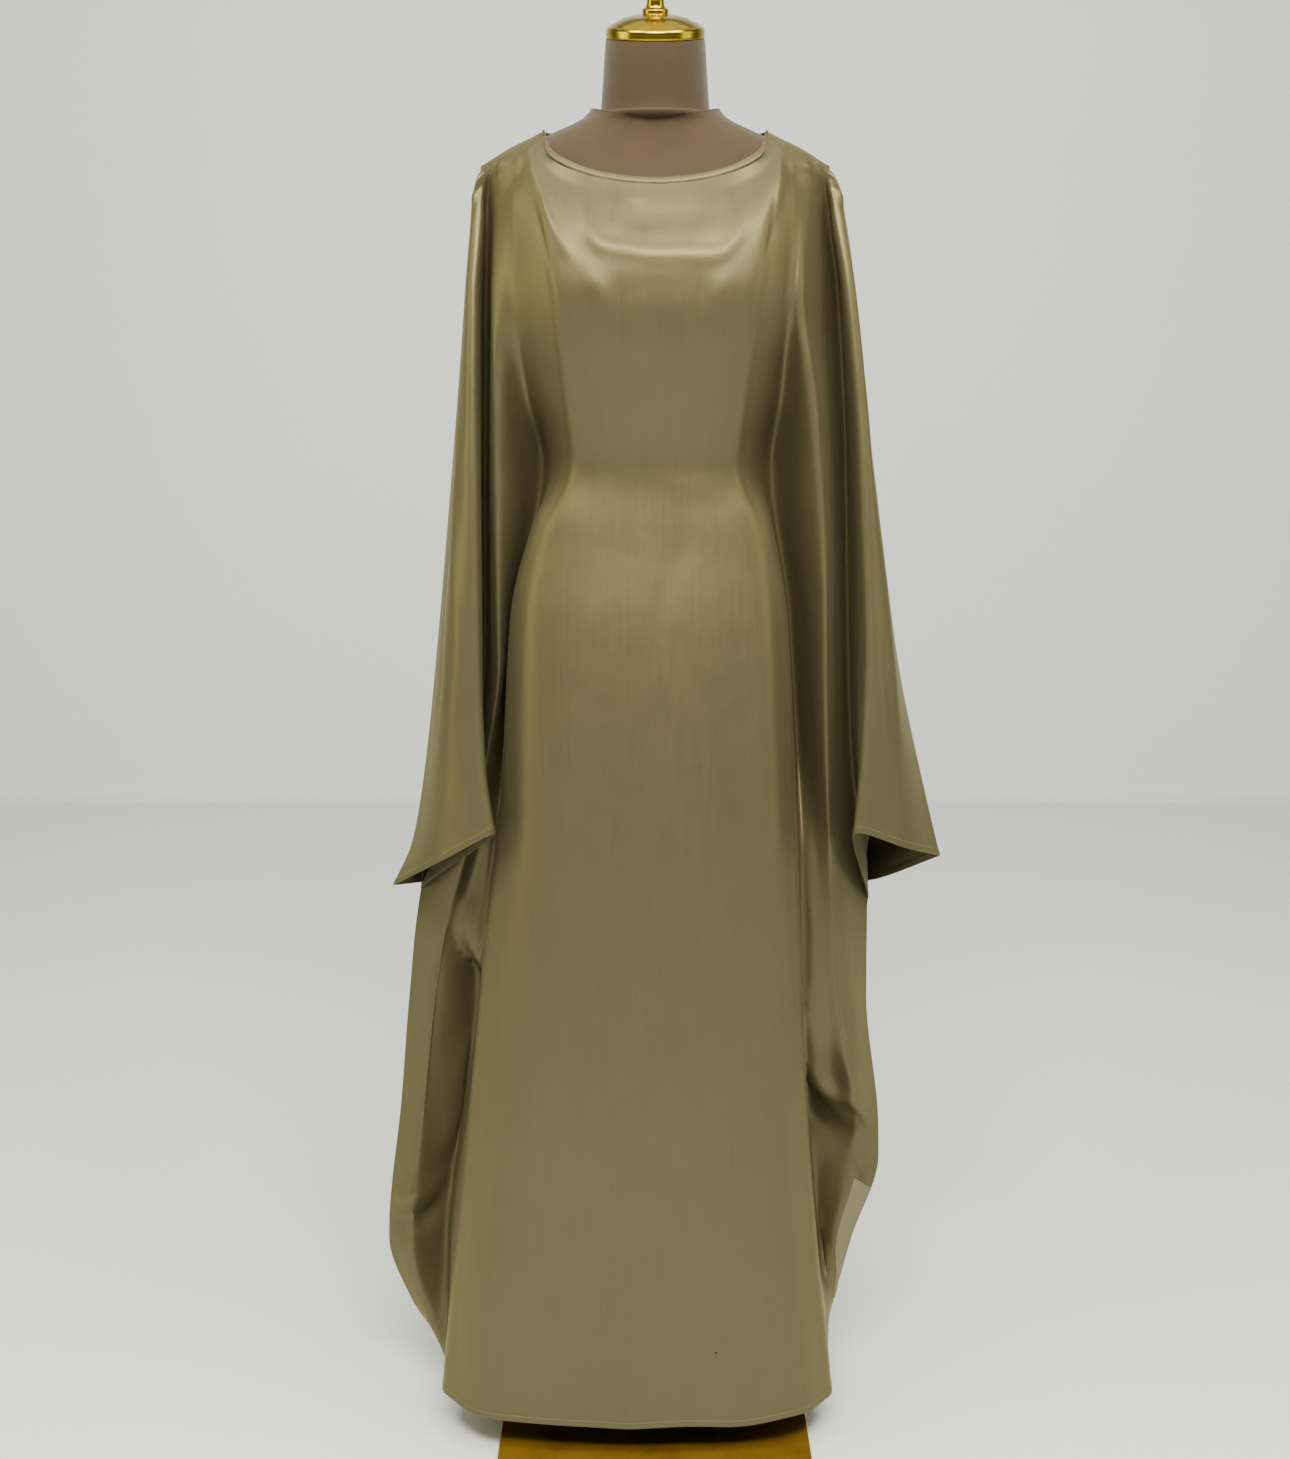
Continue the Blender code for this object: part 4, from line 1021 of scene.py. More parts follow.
class Sheet:
    """A panel's middle surface: rows of points, with how far across and down the cloth each lies."""

    def __init__(self, make_lines, folds, facing, tree):
        self.folds = folds
        self.facing = facing
        self.tree = tree
        above, below = fine_rows()
        self.cuff_row = len(above) - 1
        self.middle = column_of(folds, len(folds) - 1)
        self.seam = column_of(folds, SLIT)
        rows, columns = len(above) + len(below), 2 * self.middle + 1
        self.points = np.full((rows, columns, 3), np.nan)
        halves = ((-1, make_lines(-1)), (1, make_lines(1)))
        lap = (SEAM_GAP + CLOTH) / 2
        for i, down in enumerate((*above, *below)):
            last = SLIT if down > 1 else len(folds) - 1
            for side, lines in halves:
                for j, point in enumerate(half_section(lines, folds, down, last)):
                    place = Vector((side * point.x, point.y, point.z))
                    if i >= self.cuff_row and j == self.seam:
                        place.y += facing * lap
                    elif i and (j < self.middle or i > self.cuff_row):
                        place = rest_on(tree, place, NEAR_FORM)
                    self.points[i, self.middle + side * j] = place
        self.there = ~np.isnan(self.points[:, :, 0])
        self.measure()

    def measure(self):
        across = np.linalg.norm(np.diff(self.points, axis=1), axis=2)
        down = np.linalg.norm(np.diff(self.points, axis=0), axis=2)
        self.across = np.zeros(self.there.shape)
        middle = self.middle
        self.across[:, middle + 1 :] = np.cumsum(np.nan_to_num(across[:, middle:]), axis=1)
        outwards = np.cumsum(np.nan_to_num(across[:, :middle][:, ::-1]), axis=1)
        self.across[:, :middle] = -outwards[:, ::-1]
        self.down = np.zeros(self.there.shape)
        self.down[1:] = np.cumsum(np.nan_to_num(down), axis=0)
        ends = np.where(self.there, self.down, -1).max(axis=0)
        self.above_hem = ends[None, :] - self.down
        reach = np.where(self.there, np.abs(self.across), -1)
        self.to_seam = np.stack([
            reach[:, : middle + 1].max(axis=1)[:, None] - np.abs(self.across),
            reach[:, middle:].max(axis=1)[:, None] - np.abs(self.across),
        ])
        columns = np.arange(self.there.shape[1])
        self.to_seam = np.where(columns[None, :] < middle, self.to_seam[0], self.to_seam[1])

    def normals(self):
        """Outward normals of the rows' points."""
        total = np.zeros(self.points.shape)
        a, b = self.points[:-1, :-1], self.points[1:, :-1]
        c, d = self.points[1:, 1:], self.points[:-1, 1:]
        face = np.nan_to_num(np.cross(c - a, d - b)) * -self.facing
        for rows in (slice(None, -1), slice(1, None)):
            for columns in (slice(None, -1), slice(1, None)):
                total[rows, columns] += face
        length = np.linalg.norm(total, axis=2, keepdims=True)
        return total / np.maximum(length, 1e-12)

    def spot(self, side, line, height):
        """Where a height on a fold line lies across and down the cloth."""
        column = self.middle + side * column_of(self.folds, line)
        rows = np.nonzero(self.there[:, column])[0]
        heights = -self.points[rows, column, 2]
        row = np.interp(-height, heights, rows)
        return np.array([
            np.interp(row, rows, self.across[rows, column]),
            np.interp(row, rows, self.down[rows, column]),
        ])

    def crease(self, side, width, height, path):
        """How far a soft ridge or trough along a path lifts each point."""
        knots = [Vector(self.spot(side, *step)).to_3d() for step in path]
        ends = [2 * knots[0] - knots[1], *knots, 2 * knots[-1] - knots[-2]]
        line = []
        for k in range(len(knots) - 1):
            line += [spline(*ends[k : k + 4], step / 8) for step in range(8)]
        line = np.array([point[:2] for point in (*line, knots[-1])])
        steps = np.linalg.norm(np.diff(line, axis=0), axis=1)
        walked = np.concatenate([[0], np.cumsum(steps)])
        near = np.full(self.there.shape, 1e9)
        where = np.zeros(self.there.shape)
        for k, step in enumerate(steps):
            along_x, along_y = (line[k + 1] - line[k]) / step
            dx, dy = self.across - line[k][0], self.down - line[k][1]
            t = np.clip(dx * along_x + dy * along_y, 0, step)
            distance = np.hypot(dx - t * along_x, dy - t * along_y)
            closer = distance < near
            near = np.where(closer, distance, near)
            where = np.where(closer, (walked[k] + t) / walked[-1], where)
        ends_softly = np.clip(np.minimum(where, 1 - where) / 0.3, 0, 1)
        ends_softly = 0.15 + 0.85 * ends_softly * ends_softly * (3 - 2 * ends_softly)
        return height * ends_softly * np.exp(-((near / width) ** 2))

    def drape(self, creases, seed):
        """Lays the creases on the sheet, fading at the seams and the neckline, and clear of the form."""
        chance = random.Random(seed)
        lift = np.zeros(self.there.shape)
        for side, width, height, path in creases:
            for way in (side,) if side else (-1, 1):
                vary = 1.0 if side else chance.uniform(0.75, 1.2)
                lift += self.crease(way, width, height * vary, path)
        lift *= 1 - np.exp(-((self.to_seam / SEAM_FADE) ** 2))
        lift *= np.clip(self.down / NECKLINE_FADE, 0, 1)
        moved = self.points + self.normals() * lift[:, :, None]
        for i, j in zip(*np.nonzero(self.there & (np.abs(lift) > 1e-5))):
            if moved[i, j, 2] > TORSO_BOTTOM - 0.02:
                moved[i, j] = rest_on(self.tree, Vector(moved[i, j]), NEAR_FORM)
        rise = np.zeros(self.there.shape)
        for out, dz in HEM_WAVE:
            rise += dz * np.exp(-(((self.points[:, :, 0] - out) / WAVE_WIDTH) ** 2))
        rise *= np.clip(1 - self.above_hem / WAVE_HEIGHT, 0, 1) * (self.points[:, :, 2] < BELOW_CUFFS)
        moved[:, :, 2] += np.nan_to_num(rise)
        self.points = moved
        self.round_shoulders()

    def bring_forward(self, side, line, width, depth, sill, softness):
        """Fills a valley above a slanting fold, under which the cloth falls back into its hollow."""
        column = self.middle + side * column_of(self.folds, line)
        away = np.abs(self.across - self.across[:, column : column + 1])
        height = self.points[:, :, 2]
        (out, low), (far_out, far_low) = sill
        edge = low + (np.abs(self.points[:, :, 0]) - out) * (far_low - low) / (far_out - out)
        above = np.clip((height - edge) / softness + 1, 0, 1)
        under = np.clip((FORWARD_TOP - height) / FORWARD_FADE, 0, 1)
        share = above**2 * (3 - 2 * above) * under**2 * (3 - 2 * under) * np.exp(-((away / width) ** 2))
        here = self.there & (side * (np.arange(self.there.shape[1]) - self.middle) > 0)
        self.points[:, :, 1] += np.where(here, self.facing * depth * share, 0)

    def lower_cuffs(self, drops):
        """Lets the middle of each cuff's edge sag, by so much on the left and on the right."""
        columns = np.abs(np.arange(self.there.shape[1]) - self.middle)
        share = np.clip((columns - self.seam) / (self.middle - self.seam), 0, 1)
        sag = np.sin(math.pi * share**0.8) * np.clip(1 - self.above_hem / CUFF_SAG_HEIGHT, 0, 1)
        sides = np.where(np.arange(self.there.shape[1]) < self.middle, *drops)
        self.points[:, :, 2] -= np.where(share > 0, sag * sides, 0)

    def round_shoulders(self):
        """Eases the corner at each shoulder's end, and keeps the cloth there within the outer seam."""
        for side, seam in ((-1, LEFT_OUTER_SEAM), (1, RIGHT_OUTER_SEAM)):
            near = self.there & (self.points[:, :, 2] > SHOULDER_EASE_FROM)
            near &= side * self.points[:, :, 0] > NECK_HALF_WIDTH
            for i, j in zip(*np.nonzero(near)):
                x, y, z = self.points[i, j]
                out = side * x
                room = 0.012 * smooth_step((SHOULDER_EASE_FROM + 0.03 - z) / 0.03)
                out = min(out, along(seam, z) + room)
                corner = math.hypot(out - SHOULDER_OUT, z - SHOULDER_HEIGHT)
                pull = SHOULDER_EASE * smooth_step(1 - corner / SHOULDER_EASE_REACH)
                self.points[i, j] = (side * (out - 0.8 * pull), y, z - 0.55 * pull)


def cloth_piece(name, sheet, face, reverse):
    """The thin shell of a panel, thicker over its turned hems, with the reverse of the cloth inside."""
    normals = sheet.normals()
    seam_rows = np.arange(sheet.there.shape[0]) >= sheet.cuff_row
    for side in (-1, 1):
        normals[seam_rows, sheet.middle + side * sheet.seam] = (0, sheet.facing, 0)
    hem = np.clip((HEM_TURN - sheet.above_hem) / 0.0009, 0, 1)
    edge = np.clip(sheet.above_hem / 0.0012, 0, 1)
    thick = CLOTH + (HEM_CLOTH - CLOTH) * hem * np.sqrt(0.25 + 0.75 * edge)
    numbers = np.full(sheet.there.shape, -1)
    numbers[sheet.there] = np.arange(sheet.there.sum())
    count = int(sheet.there.sum())
    half = (normals * thick[:, :, None] / 2)[sheet.there]
    middle = sheet.points[sheet.there]
    places = np.concatenate([middle + half, middle - half])
    maps = np.stack([sheet.across, sheet.down], axis=2)[sheet.there]
    outside, inside, edges = [], [], set()
    for i, j in zip(*np.nonzero(sheet.there[:-1, :-1])):
        a, b = numbers[i, j], numbers[i + 1, j]
        c, d = numbers[i + 1, j + 1], numbers[i, j + 1]
        if min(a, b, c, d) < 0:
            continue
        ring = (a, b, c, d) if sheet.facing < 0 else (d, c, b, a)
        outside.append(ring)
        inside.append(tuple(count + n for n in reversed(ring)))
        edges.update(zip(ring, (*ring[1:], ring[0])))
    rims = [(b, a, count + a, count + b) for a, b in edges if (b, a) not in edges]
    faces = [*outside, *inside, *rims]
    data = bpy.data.meshes.new(name)
    data.from_pydata(places.tolist(), [], [tuple(int(n) for n in ring) for ring in faces])
    data.materials.append(face)
    data.materials.append(reverse)
    kinds = np.zeros(len(faces), dtype=np.int32)
    kinds[len(outside) : len(outside) + len(inside)] = 1
    data.polygons.foreach_set("material_index", kinds)
    layer = data.uv_layers.new(name="cut")
    corners = np.zeros(len(data.loops), dtype=np.int32)
    data.loops.foreach_get("vertex_index", corners)
    layer.data.foreach_set("uv", maps[corners % count].astype(np.float32).ravel())
    data.shade_smooth()
    data.set_sharp_from_angle(angle=math.radians(50))
    made = bpy.data.objects.new(name, data)
    bpy.context.scene.collection.objects.link(made)
    return made


def thread(name, rows, material):
    """Stitches laid along rows of (point, normal): small rounded lengths of thread, with gaps."""
    length, radius, pitch = STITCH
    places, faces = [], []
    for row in rows:
        walked, start = 0.0, 0.0
        for (a, na), (b, nb) in zip(row, row[1:]):
            step = (b - a).length
            while start < walked + step:
                share = (start - walked) / step if step else 0.0
                normal = na.lerp(nb, share).normalized()
                way = (b - a).normalized()
                side = normal.cross(way)
                middle = a.lerp(b, share) + normal * (0.35 * radius)
                first = len(places)
                places += [middle - way * (length / 2), middle + way * (length / 2)]
                for reach in (-0.3, 0.3):
                    for out, up in ((1, 0), (0, 1), (-1, 0), (0, -1)):
                        place = middle + way * (reach * length)
                        places.append(place + side * (out * radius) + normal * (up * radius))
                for k in range(4):
                    m = (k + 1) % 4
                    low, high = first + 2, first + 6
                    faces.append((first, low + m, low + k))
                    faces.append((low + k, low + m, high + m, high + k))
                    faces.append((first + 1, high + k, high + m))
                start += pitch
            walked += step
    return plain_mesh(name, places, faces, material)


def plain_mesh(name, places, faces, material):
    data = bpy.data.meshes.new(name)
    data.from_pydata([tuple(place) for place in places], [], faces)
    data.materials.append(material)
    data.shade_smooth()
    data.set_sharp_from_angle(angle=math.radians(42))
    made = bpy.data.objects.new(name, data)
    bpy.context.scene.collection.objects.link(made)
    return made


def sheet_row(sheet, above_hem, first, last):
    """Points and normals at a height above the hem, over columns that count from the middle."""
    normals = sheet.normals()
    row = []
    for j in range(sheet.middle + first, sheet.middle + last + 1):
        rows = np.nonzero(sheet.there[:, j])[0]
        at = np.interp(-above_hem, -sheet.above_hem[rows, j], rows)
        i = min(int(at), len(rows) - 2)
        share = at - i
        place = Vector(sheet.points[i, j]).lerp(Vector(sheet.points[i + 1, j]), share)
        normal = Vector(normals[i, j])
        row.append((place + normal * (HEM_CLOTH / 2), normal))
    return row


def ring_loft(name, rings, material):
    """A closed skin through rings of equal counts, with flat ends."""
    count = len(rings[0])
    places = [point for ring in rings for point in ring]
    faces = []
    for k in range(len(rings) - 1):
        low, high = k * count, (k + 1) * count
        for i in range(count):
            j = (i + 1) % count
            faces.append((low + i, low + j, high + j, high + i))
    faces.append(tuple(range(count))[::-1])
    faces.append(tuple(range((len(rings) - 1) * count, len(rings) * count)))
    return plain_mesh(name, places, faces, material)


class Value:
    """A shader value that takes Python's arithmetic."""

    def __init__(self, look, socket):
        self.look = look
        self.socket = socket

    def __add__(self, other):
        return self.look.math("ADD", self, other)

    def __sub__(self, other):
        return self.look.math("SUBTRACT", self, other)

    def __rsub__(self, other):
        return self.look.math("SUBTRACT", other, self)

    def __mul__(self, other):
        return self.look.math("MULTIPLY", self, other)

    def __truediv__(self, other):
        return self.look.math("DIVIDE", self, other)

    __radd__ = __add__
    __rmul__ = __mul__


class Look:
    """A material and its node tree."""

    def __init__(self, name, **constants):
        self.material = bpy.data.materials.new(name)
        self.material.use_nodes = True
        self.tree = self.material.node_tree
        self.shader = self.tree.nodes["Principled BSDF"]
        for socket, value in constants.items():
            self.shader.inputs[socket.replace("_", " ")].default_value = value

    def node(self, kind, settings, sockets, output=0):
        made = self.tree.nodes.new(kind)
        for key, value in settings.items():
            setattr(made, key, value)
        for key, value in sockets.items():
            self.feed(made.inputs[key], value)
        return Value(self, made.outputs[output])

    def feed(self, socket, value):
        if isinstance(value, Value):
            self.tree.links.new(value.socket, socket)
        else:
            socket.default_value = value

    def math(self, operation, *values):
        return self.node("ShaderNodeMath", {"operation": operation}, dict(enumerate(values)))

    def clamp(self, value):
        return self.node("ShaderNodeClamp", {}, {0: value})

    def mix(self, share, first, second):
        return self.node("ShaderNodeMix", {"data_type": "RGBA"}, {0: share, 6: first, 7: second}, 2)

    def scaled(self, vector, by):
        return self.node("ShaderNodeVectorMath", {"operation": "MULTIPLY"}, {0: vector, 1: by})

    def noise(self, vector, scale, detail=2.0, roughness=0.5):
        sockets = {"Vector": vector, "Scale": scale, "Detail": detail, "Roughness": roughness}
        return self.node("ShaderNodeTexNoise", {}, sockets)

    def places(self):
        return self.node("ShaderNodeTexCoord", {}, {}, 3)

    def bump(self, height, distance, strength=1.0, normal=None):
        sockets = {"Height": height, "Distance": distance, "Strength": strength}
        if normal:
            sockets["Normal"] = normal
        return self.node("ShaderNodeBump", {}, sockets)

    def set(self, **sockets):
        for socket, value in sockets.items():
            self.feed(self.shader.inputs[socket.replace("_", " ")], value)
        return self.material


def satin_look(name, colour, deep, roughness, metallic, weave, marked=False):
    """Satin: a fine weave along the cloth, slubs down its warp and a faint unevenness of tone."""
    look = Look(
        name,
        Metallic=metallic,
        Specular_IOR_Level=0.08,
        Specular_Tint=(0.90, 0.80, 0.45, 1),
        Sheen_Weight=SATIN_SHEEN,
        Sheen_Roughness=0.45,
        Sheen_Tint=(0.80, 0.74, 0.50, 1),
    )
    cut = look.node("ShaderNodeUVMap", {"uv_map": "cut"}, {})
    warp = look.noise(look.scaled(cut, (900, 40, 1)), 1.0, 3.0, 0.6)
    slub = look.noise(look.scaled(cut, (260, 9, 1)), 1.0, 2.0)
    tone = look.noise(look.places(), 5.5, 3.0)
    handling = look.noise(look.places(), 34.0, 4.0, 0.55)
    shade = look.clamp(0.30 * tone + 0.30 * slub + 0.25 * warp + 0.18 * handling)
    face = look.mix(shade, (*deep, 1), (*colour, 1))
    if marked:
        front = look.scaled(look.places(), (1, 0.1, 1))
        across = look.node("ShaderNodeVectorMath", {"operation": "DISTANCE"}, {0: front, 1: SPECK}, 1)
        spot = look.clamp((SPECK_RADIUS - across) / (0.4 * SPECK_RADIUS))
        face = look.mix(spot, face, SPECK_COLOUR)
    gloss = roughness + 0.10 * (warp - 0.5) + 0.12 * (handling - 0.5) + 0.06 * (slub - 0.5)
    coarse = look.bump(handling, 0.0005 * weave, 0.5)
    ridges = look.bump(0.6 * warp + 0.4 * slub, 0.00010 * weave, 0.5, coarse)
    return look.set(Base_Color=face, Roughness=gloss, Normal=ridges)


def jersey_look():
    """The form's jersey: a matte knit, a little worn and pressed smooth."""
    look = Look("form cover", Specular_IOR_Level=0.25, Sheen_Weight=0.18, Sheen_Roughness=0.5)
    places = look.places()
    knit = look.noise(look.scaled(places, (1500, 1500, 700)), 1.0, 2.0)
    tone = look.noise(places, 14.0, 4.0, 0.6)
    shade = look.clamp(0.55 * tone + 0.45 * knit)
    face = look.mix(shade, (*JERSEY_DEEP, 1), (*JERSEY, 1))
    height = look.bump(0.7 * knit + 0.3 * tone, 0.00030, 0.5)
    return look.set(Base_Color=face, Roughness=0.68 + 0.2 * knit, Normal=height)


def metal_look(name, colour, dull, roughness, smears, metallic):
    """Polished plating: faint smears and hairlines in the polish."""
    look = Look(name, Metallic=metallic, Coat_Weight=1.0 - metallic, Coat_Roughness=0.04)
    places = look.places()
    smear = look.noise(places, 22.0, 5.0, 0.6)
    hair = look.noise(look.scaled(places, (30, 30, 900)), 1.0, 2.0)
    face = look.mix(look.clamp(smear * smear * 1.5), (*colour, 1), (*dull, 1))
    gloss = roughness + smears * (0.6 * smear + 0.4 * hair - 0.3)
    wave = look.bump(0.8 * smear + 0.2 * hair, 0.00012, 0.25)
    return look.set(Base_Color=face, Roughness=gloss, Normal=wave)


def thread_look():
    look = Look("sewing thread", Roughness=0.5, Sheen_Weight=0.2)
    twist = look.noise(look.places(), 2400.0, 1.0)
    face = look.mix(twist, (*THREAD_DEEP, 1), (*THREAD, 1))
    return look.set(Base_Color=face, Normal=look.bump(twist, 0.00005, 0.5))


def studio_look(name, colour, deep):
    look = Look(name, Specular_IOR_Level=0.2)
    tone = look.noise(look.places(), 0.8, 3.0)
    return look.set(Base_Color=look.mix(tone, (*deep, 1), (*colour, 1)), Roughness=0.75 + 0.1 * tone)


def make_form(cover):
    """The form's torso and neck, smooth, with the cover's piped edge at the neck's foot."""
    heights = [TORSO_BOTTOM + (TORSO_TOP - 0.004 - TORSO_BOTTOM) * k / 90 for k in range(91)]
    rings = []
    for height in heights:
        rings.append([Vector(point) for point in torso_ring(height, 120)])
    foot = [Vector((0.94 * point.x, 0.94 * point.y, TORSO_BOTTOM)) for point in rings[0]]
    for point in rings[0]:
        point.z += 0.004
    crown = rings[-1]
    eased = []
    for share, radius, rise in COVER_COLLAR:
        ring = []
        for point in crown:
            out = Vector((point.x, point.y, 0)).normalized() * radius
            level = TORSO_TOP + rise * (1 - COLLAR_DIP * max(0.0, -out.y / radius) ** 1.5 * (rise > 0))
            ring.append(Vector((point.x, point.y, 0)).lerp(out, share) + Vector((0, 0, level)))
        eased.append(ring)
    torso = ring_loft("torso_cover", [foot, *rings, *eased], cover)
    low = TORSO_TOP + SEAM_GAP
    rings = [neck_disc(low + height, radius, 112) for height, radius in NECK_PROFILE]
    rings[0] = [Vector((point.x, point.y, low)) for point in rings[0]]
    neck = ring_loft("neck_cover", rings, cover)
    return torso, neck


def turned(name, profile, material, origin=(0, 0, 0), tilt=0.0, count=96):
    """A solid turned from (radius, height) rows, then tipped forward about its own foot."""
    rings = []
    for radius, height in profile:
        ring = []
        for i in range(count):
            angle = 2 * math.pi * i / count
            x, y = radius * math.cos(angle), radius * math.sin(angle)
            turned_y = y * math.cos(tilt) - height * math.sin(tilt)
            turned_z = y * math.sin(tilt) + height * math.cos(tilt)
            ring.append(Vector(origin) + Vector((x, turned_y, turned_z)))
        rings.append(ring)
    return ring_loft(name, rings, material)


def smooth_profile(profile, steps=5):
    """More rows for a turned profile, on a curve through its own rows."""
    knots = [Vector((radius, height, 0)) for radius, height in profile]
    ends = [2 * knots[0] - knots[1], *knots, 2 * knots[-1] - knots[-2]]
    rows = []
    for k in range(len(knots) - 1):
        rows += [spline(*ends[k : k + 4], step / steps) for step in range(steps)]
    return [(point.x, point.y) for point in (*rows, knots[-1])]


def make_metal(gold, shaded_base_gold):
    """The cap with its knob, the pole with its collar, and the base plate in a darker gold that carries
    painted shade.
    """
    foot = (0, -NECK_LEAN, NECK_TOP_HEIGHT + SEAM_GAP)
    cap = turned("cap_and_knob", smooth_profile(CAP_PROFILE), gold, foot, NECK_TILT)
    low = BASE_THICK + SEAM_GAP
    collar = (
        (COLLAR_RADIUS - 0.0006, low),
        (COLLAR_RADIUS, low + 0.0008),
        (COLLAR_RADIUS, low + 0.0034),
        (COLLAR_RADIUS - 0.0008, low + 0.0042),
        (COLLAR_RADIUS * 0.78, low + 0.0080),
        (COLLAR_RADIUS * 0.66, low + 0.0135),
        (COLLAR_RADIUS * 0.62, low + 0.0190),
        (COLLAR_RADIUS * 0.60, BASE_THICK + COLLAR_HEIGHT),
    )
    collar = turned("turned_collar", smooth_profile(collar, 4), gold)
    foot = BASE_THICK + COLLAR_HEIGHT + SEAM_GAP
    top = TORSO_BOTTOM - SEAM_GAP
    pole = (
        (POLE_RADIUS, foot),
        (POLE_RADIUS, POLE_JOINT - 0.004),
        (POLE_RADIUS - 0.0004, POLE_JOINT - 0.002),
        (POLE_RADIUS - 0.0004, POLE_JOINT + 0.002),
        (POLE_RADIUS, POLE_JOINT + 0.004),
        (POLE_RADIUS, top),
    )
    pole = turned("stand_pole", pole, gold, count=64)
    mesh = bmesh.new()
    bmesh.ops.create_cube(mesh, size=1)
    for vert in mesh.verts:
        vert.co = Vector((vert.co.x * BASE_SIDE, vert.co.y * BASE_SIDE, (vert.co.z + 0.5) * BASE_THICK))
    bmesh.ops.bevel(mesh, geom=mesh.edges[:], offset=0.0016, segments=4, affect="EDGES", profile=0.6)
    data = bpy.data.meshes.new("stand_base")
    mesh.to_mesh(data)
    mesh.free()
    data.materials.append(shaded_base_gold)
    data.shade_smooth()
    data.set_sharp_from_angle(angle=math.radians(35))
    base = bpy.data.objects.new("stand_base", data)
    bpy.context.scene.collection.objects.link(base)
    return cap, pole, collar, base


def evened(path, i, reach=11):
    """The direction at one point of a closed path of (point, direction), evened over its neighbours."""
    total = Vector()
    for k in range(-reach, reach + 1):
        total += path[(i + k) % len(path)][1] * (reach + 1 - abs(k))
    return total.normalized()


def beside_seam(point):
    """How near a point of the neckline is to the shoulder seam: 1 on it, 0 away from it."""
    return smooth_step(1 - (NECK_HALF_WIDTH - abs(point.x)) / BINDING_LIES_DOWN)


def lay_weave(piece):
    """Runs a small piece's weave along its own places, as it has no rows of a panel."""
    layer = piece.data.uv_layers.new(name="cut")
    for loop in piece.data.loops:
        place = piece.data.vertices[loop.vertex_index].co
        layer.data[loop.index].uv = (place.x + place.y, place.z)


def make_binding(front, back, tree, material):
    """The neckline's binding: a soft narrow roll with a pressed edge, edge to edge with the cloth."""
    path = []
    for sheet in (front, back):
        side = column_of(sheet.folds, SHOULDER)
        normals = sheet.normals()
        if sheet.facing < 0:
            columns = range(sheet.middle - side, sheet.middle + side + 1)
        else:
            columns = range(sheet.middle + side - 1, sheet.middle - side, -1)
        path += [(Vector(sheet.points[0, j]), Vector(normals[0, j])) for j in columns]
    smoothed = [(point, evened(path, i)) for i, (point, _) in enumerate(path)]
    rising = []
    for i, (point, normal) in enumerate(smoothed):
        tangent = smoothed[(i + 1) % len(path)][0] - smoothed[i - 1][0]
        up = tangent.cross(normal).normalized()
        inwards = Vector((-math.copysign(BINDING_AT_SEAM.x, point.x), 0, BINDING_AT_SEAM.z))
        up = up.lerp(inwards, 0.6 * beside_seam(point))
        up = (rest_on(tree, point + up * BINDING_HEIGHT, BINDING_CLEARANCE) - point).normalized()
        rising.append((point, up))
    places, stitched, walked = [], [], 0.0
    for i, (point, normal) in enumerate(smoothed):
        tangent = smoothed[(i + 1) % len(path)][0] - smoothed[i - 1][0]
        walked += tangent.length / 2
        up = evened(rising, i)
        narrow = 1 - 0.75 * beside_seam(point)
        ripple = 0.00022 * math.sin(walked * 2 * math.pi / BINDING_RIPPLE)
        ripple += 0.0002 * math.sin(walked * 173.0)
        for out, rise in BINDING_SECTION:
            places.append(point + normal * (out + ripple * (rise > 0)) + up * rise * narrow)
        stitched.append((point + normal * (0.0017 + ripple) + up * 0.0012, normal))
    count, faces = len(BINDING_SECTION), []
    for i in range(len(smoothed)):
        j = (i + 1) % len(smoothed)
        for k in range(count):
            m = (k + 1) % count
            faces.append((i * count + k, j * count + k, j * count + m, i * count + m))
    binding = plain_mesh("neckline_band", places, faces, material)
    mesh = bmesh.new()
    mesh.from_mesh(binding.data)
    bmesh.ops.recalc_face_normals(mesh, faces=mesh.faces[:])
    mesh.to_mesh(binding.data)
    mesh.free()
    binding.data.shade_smooth()
    lay_weave(binding)
    return binding, [*stitched, stitched[0]]


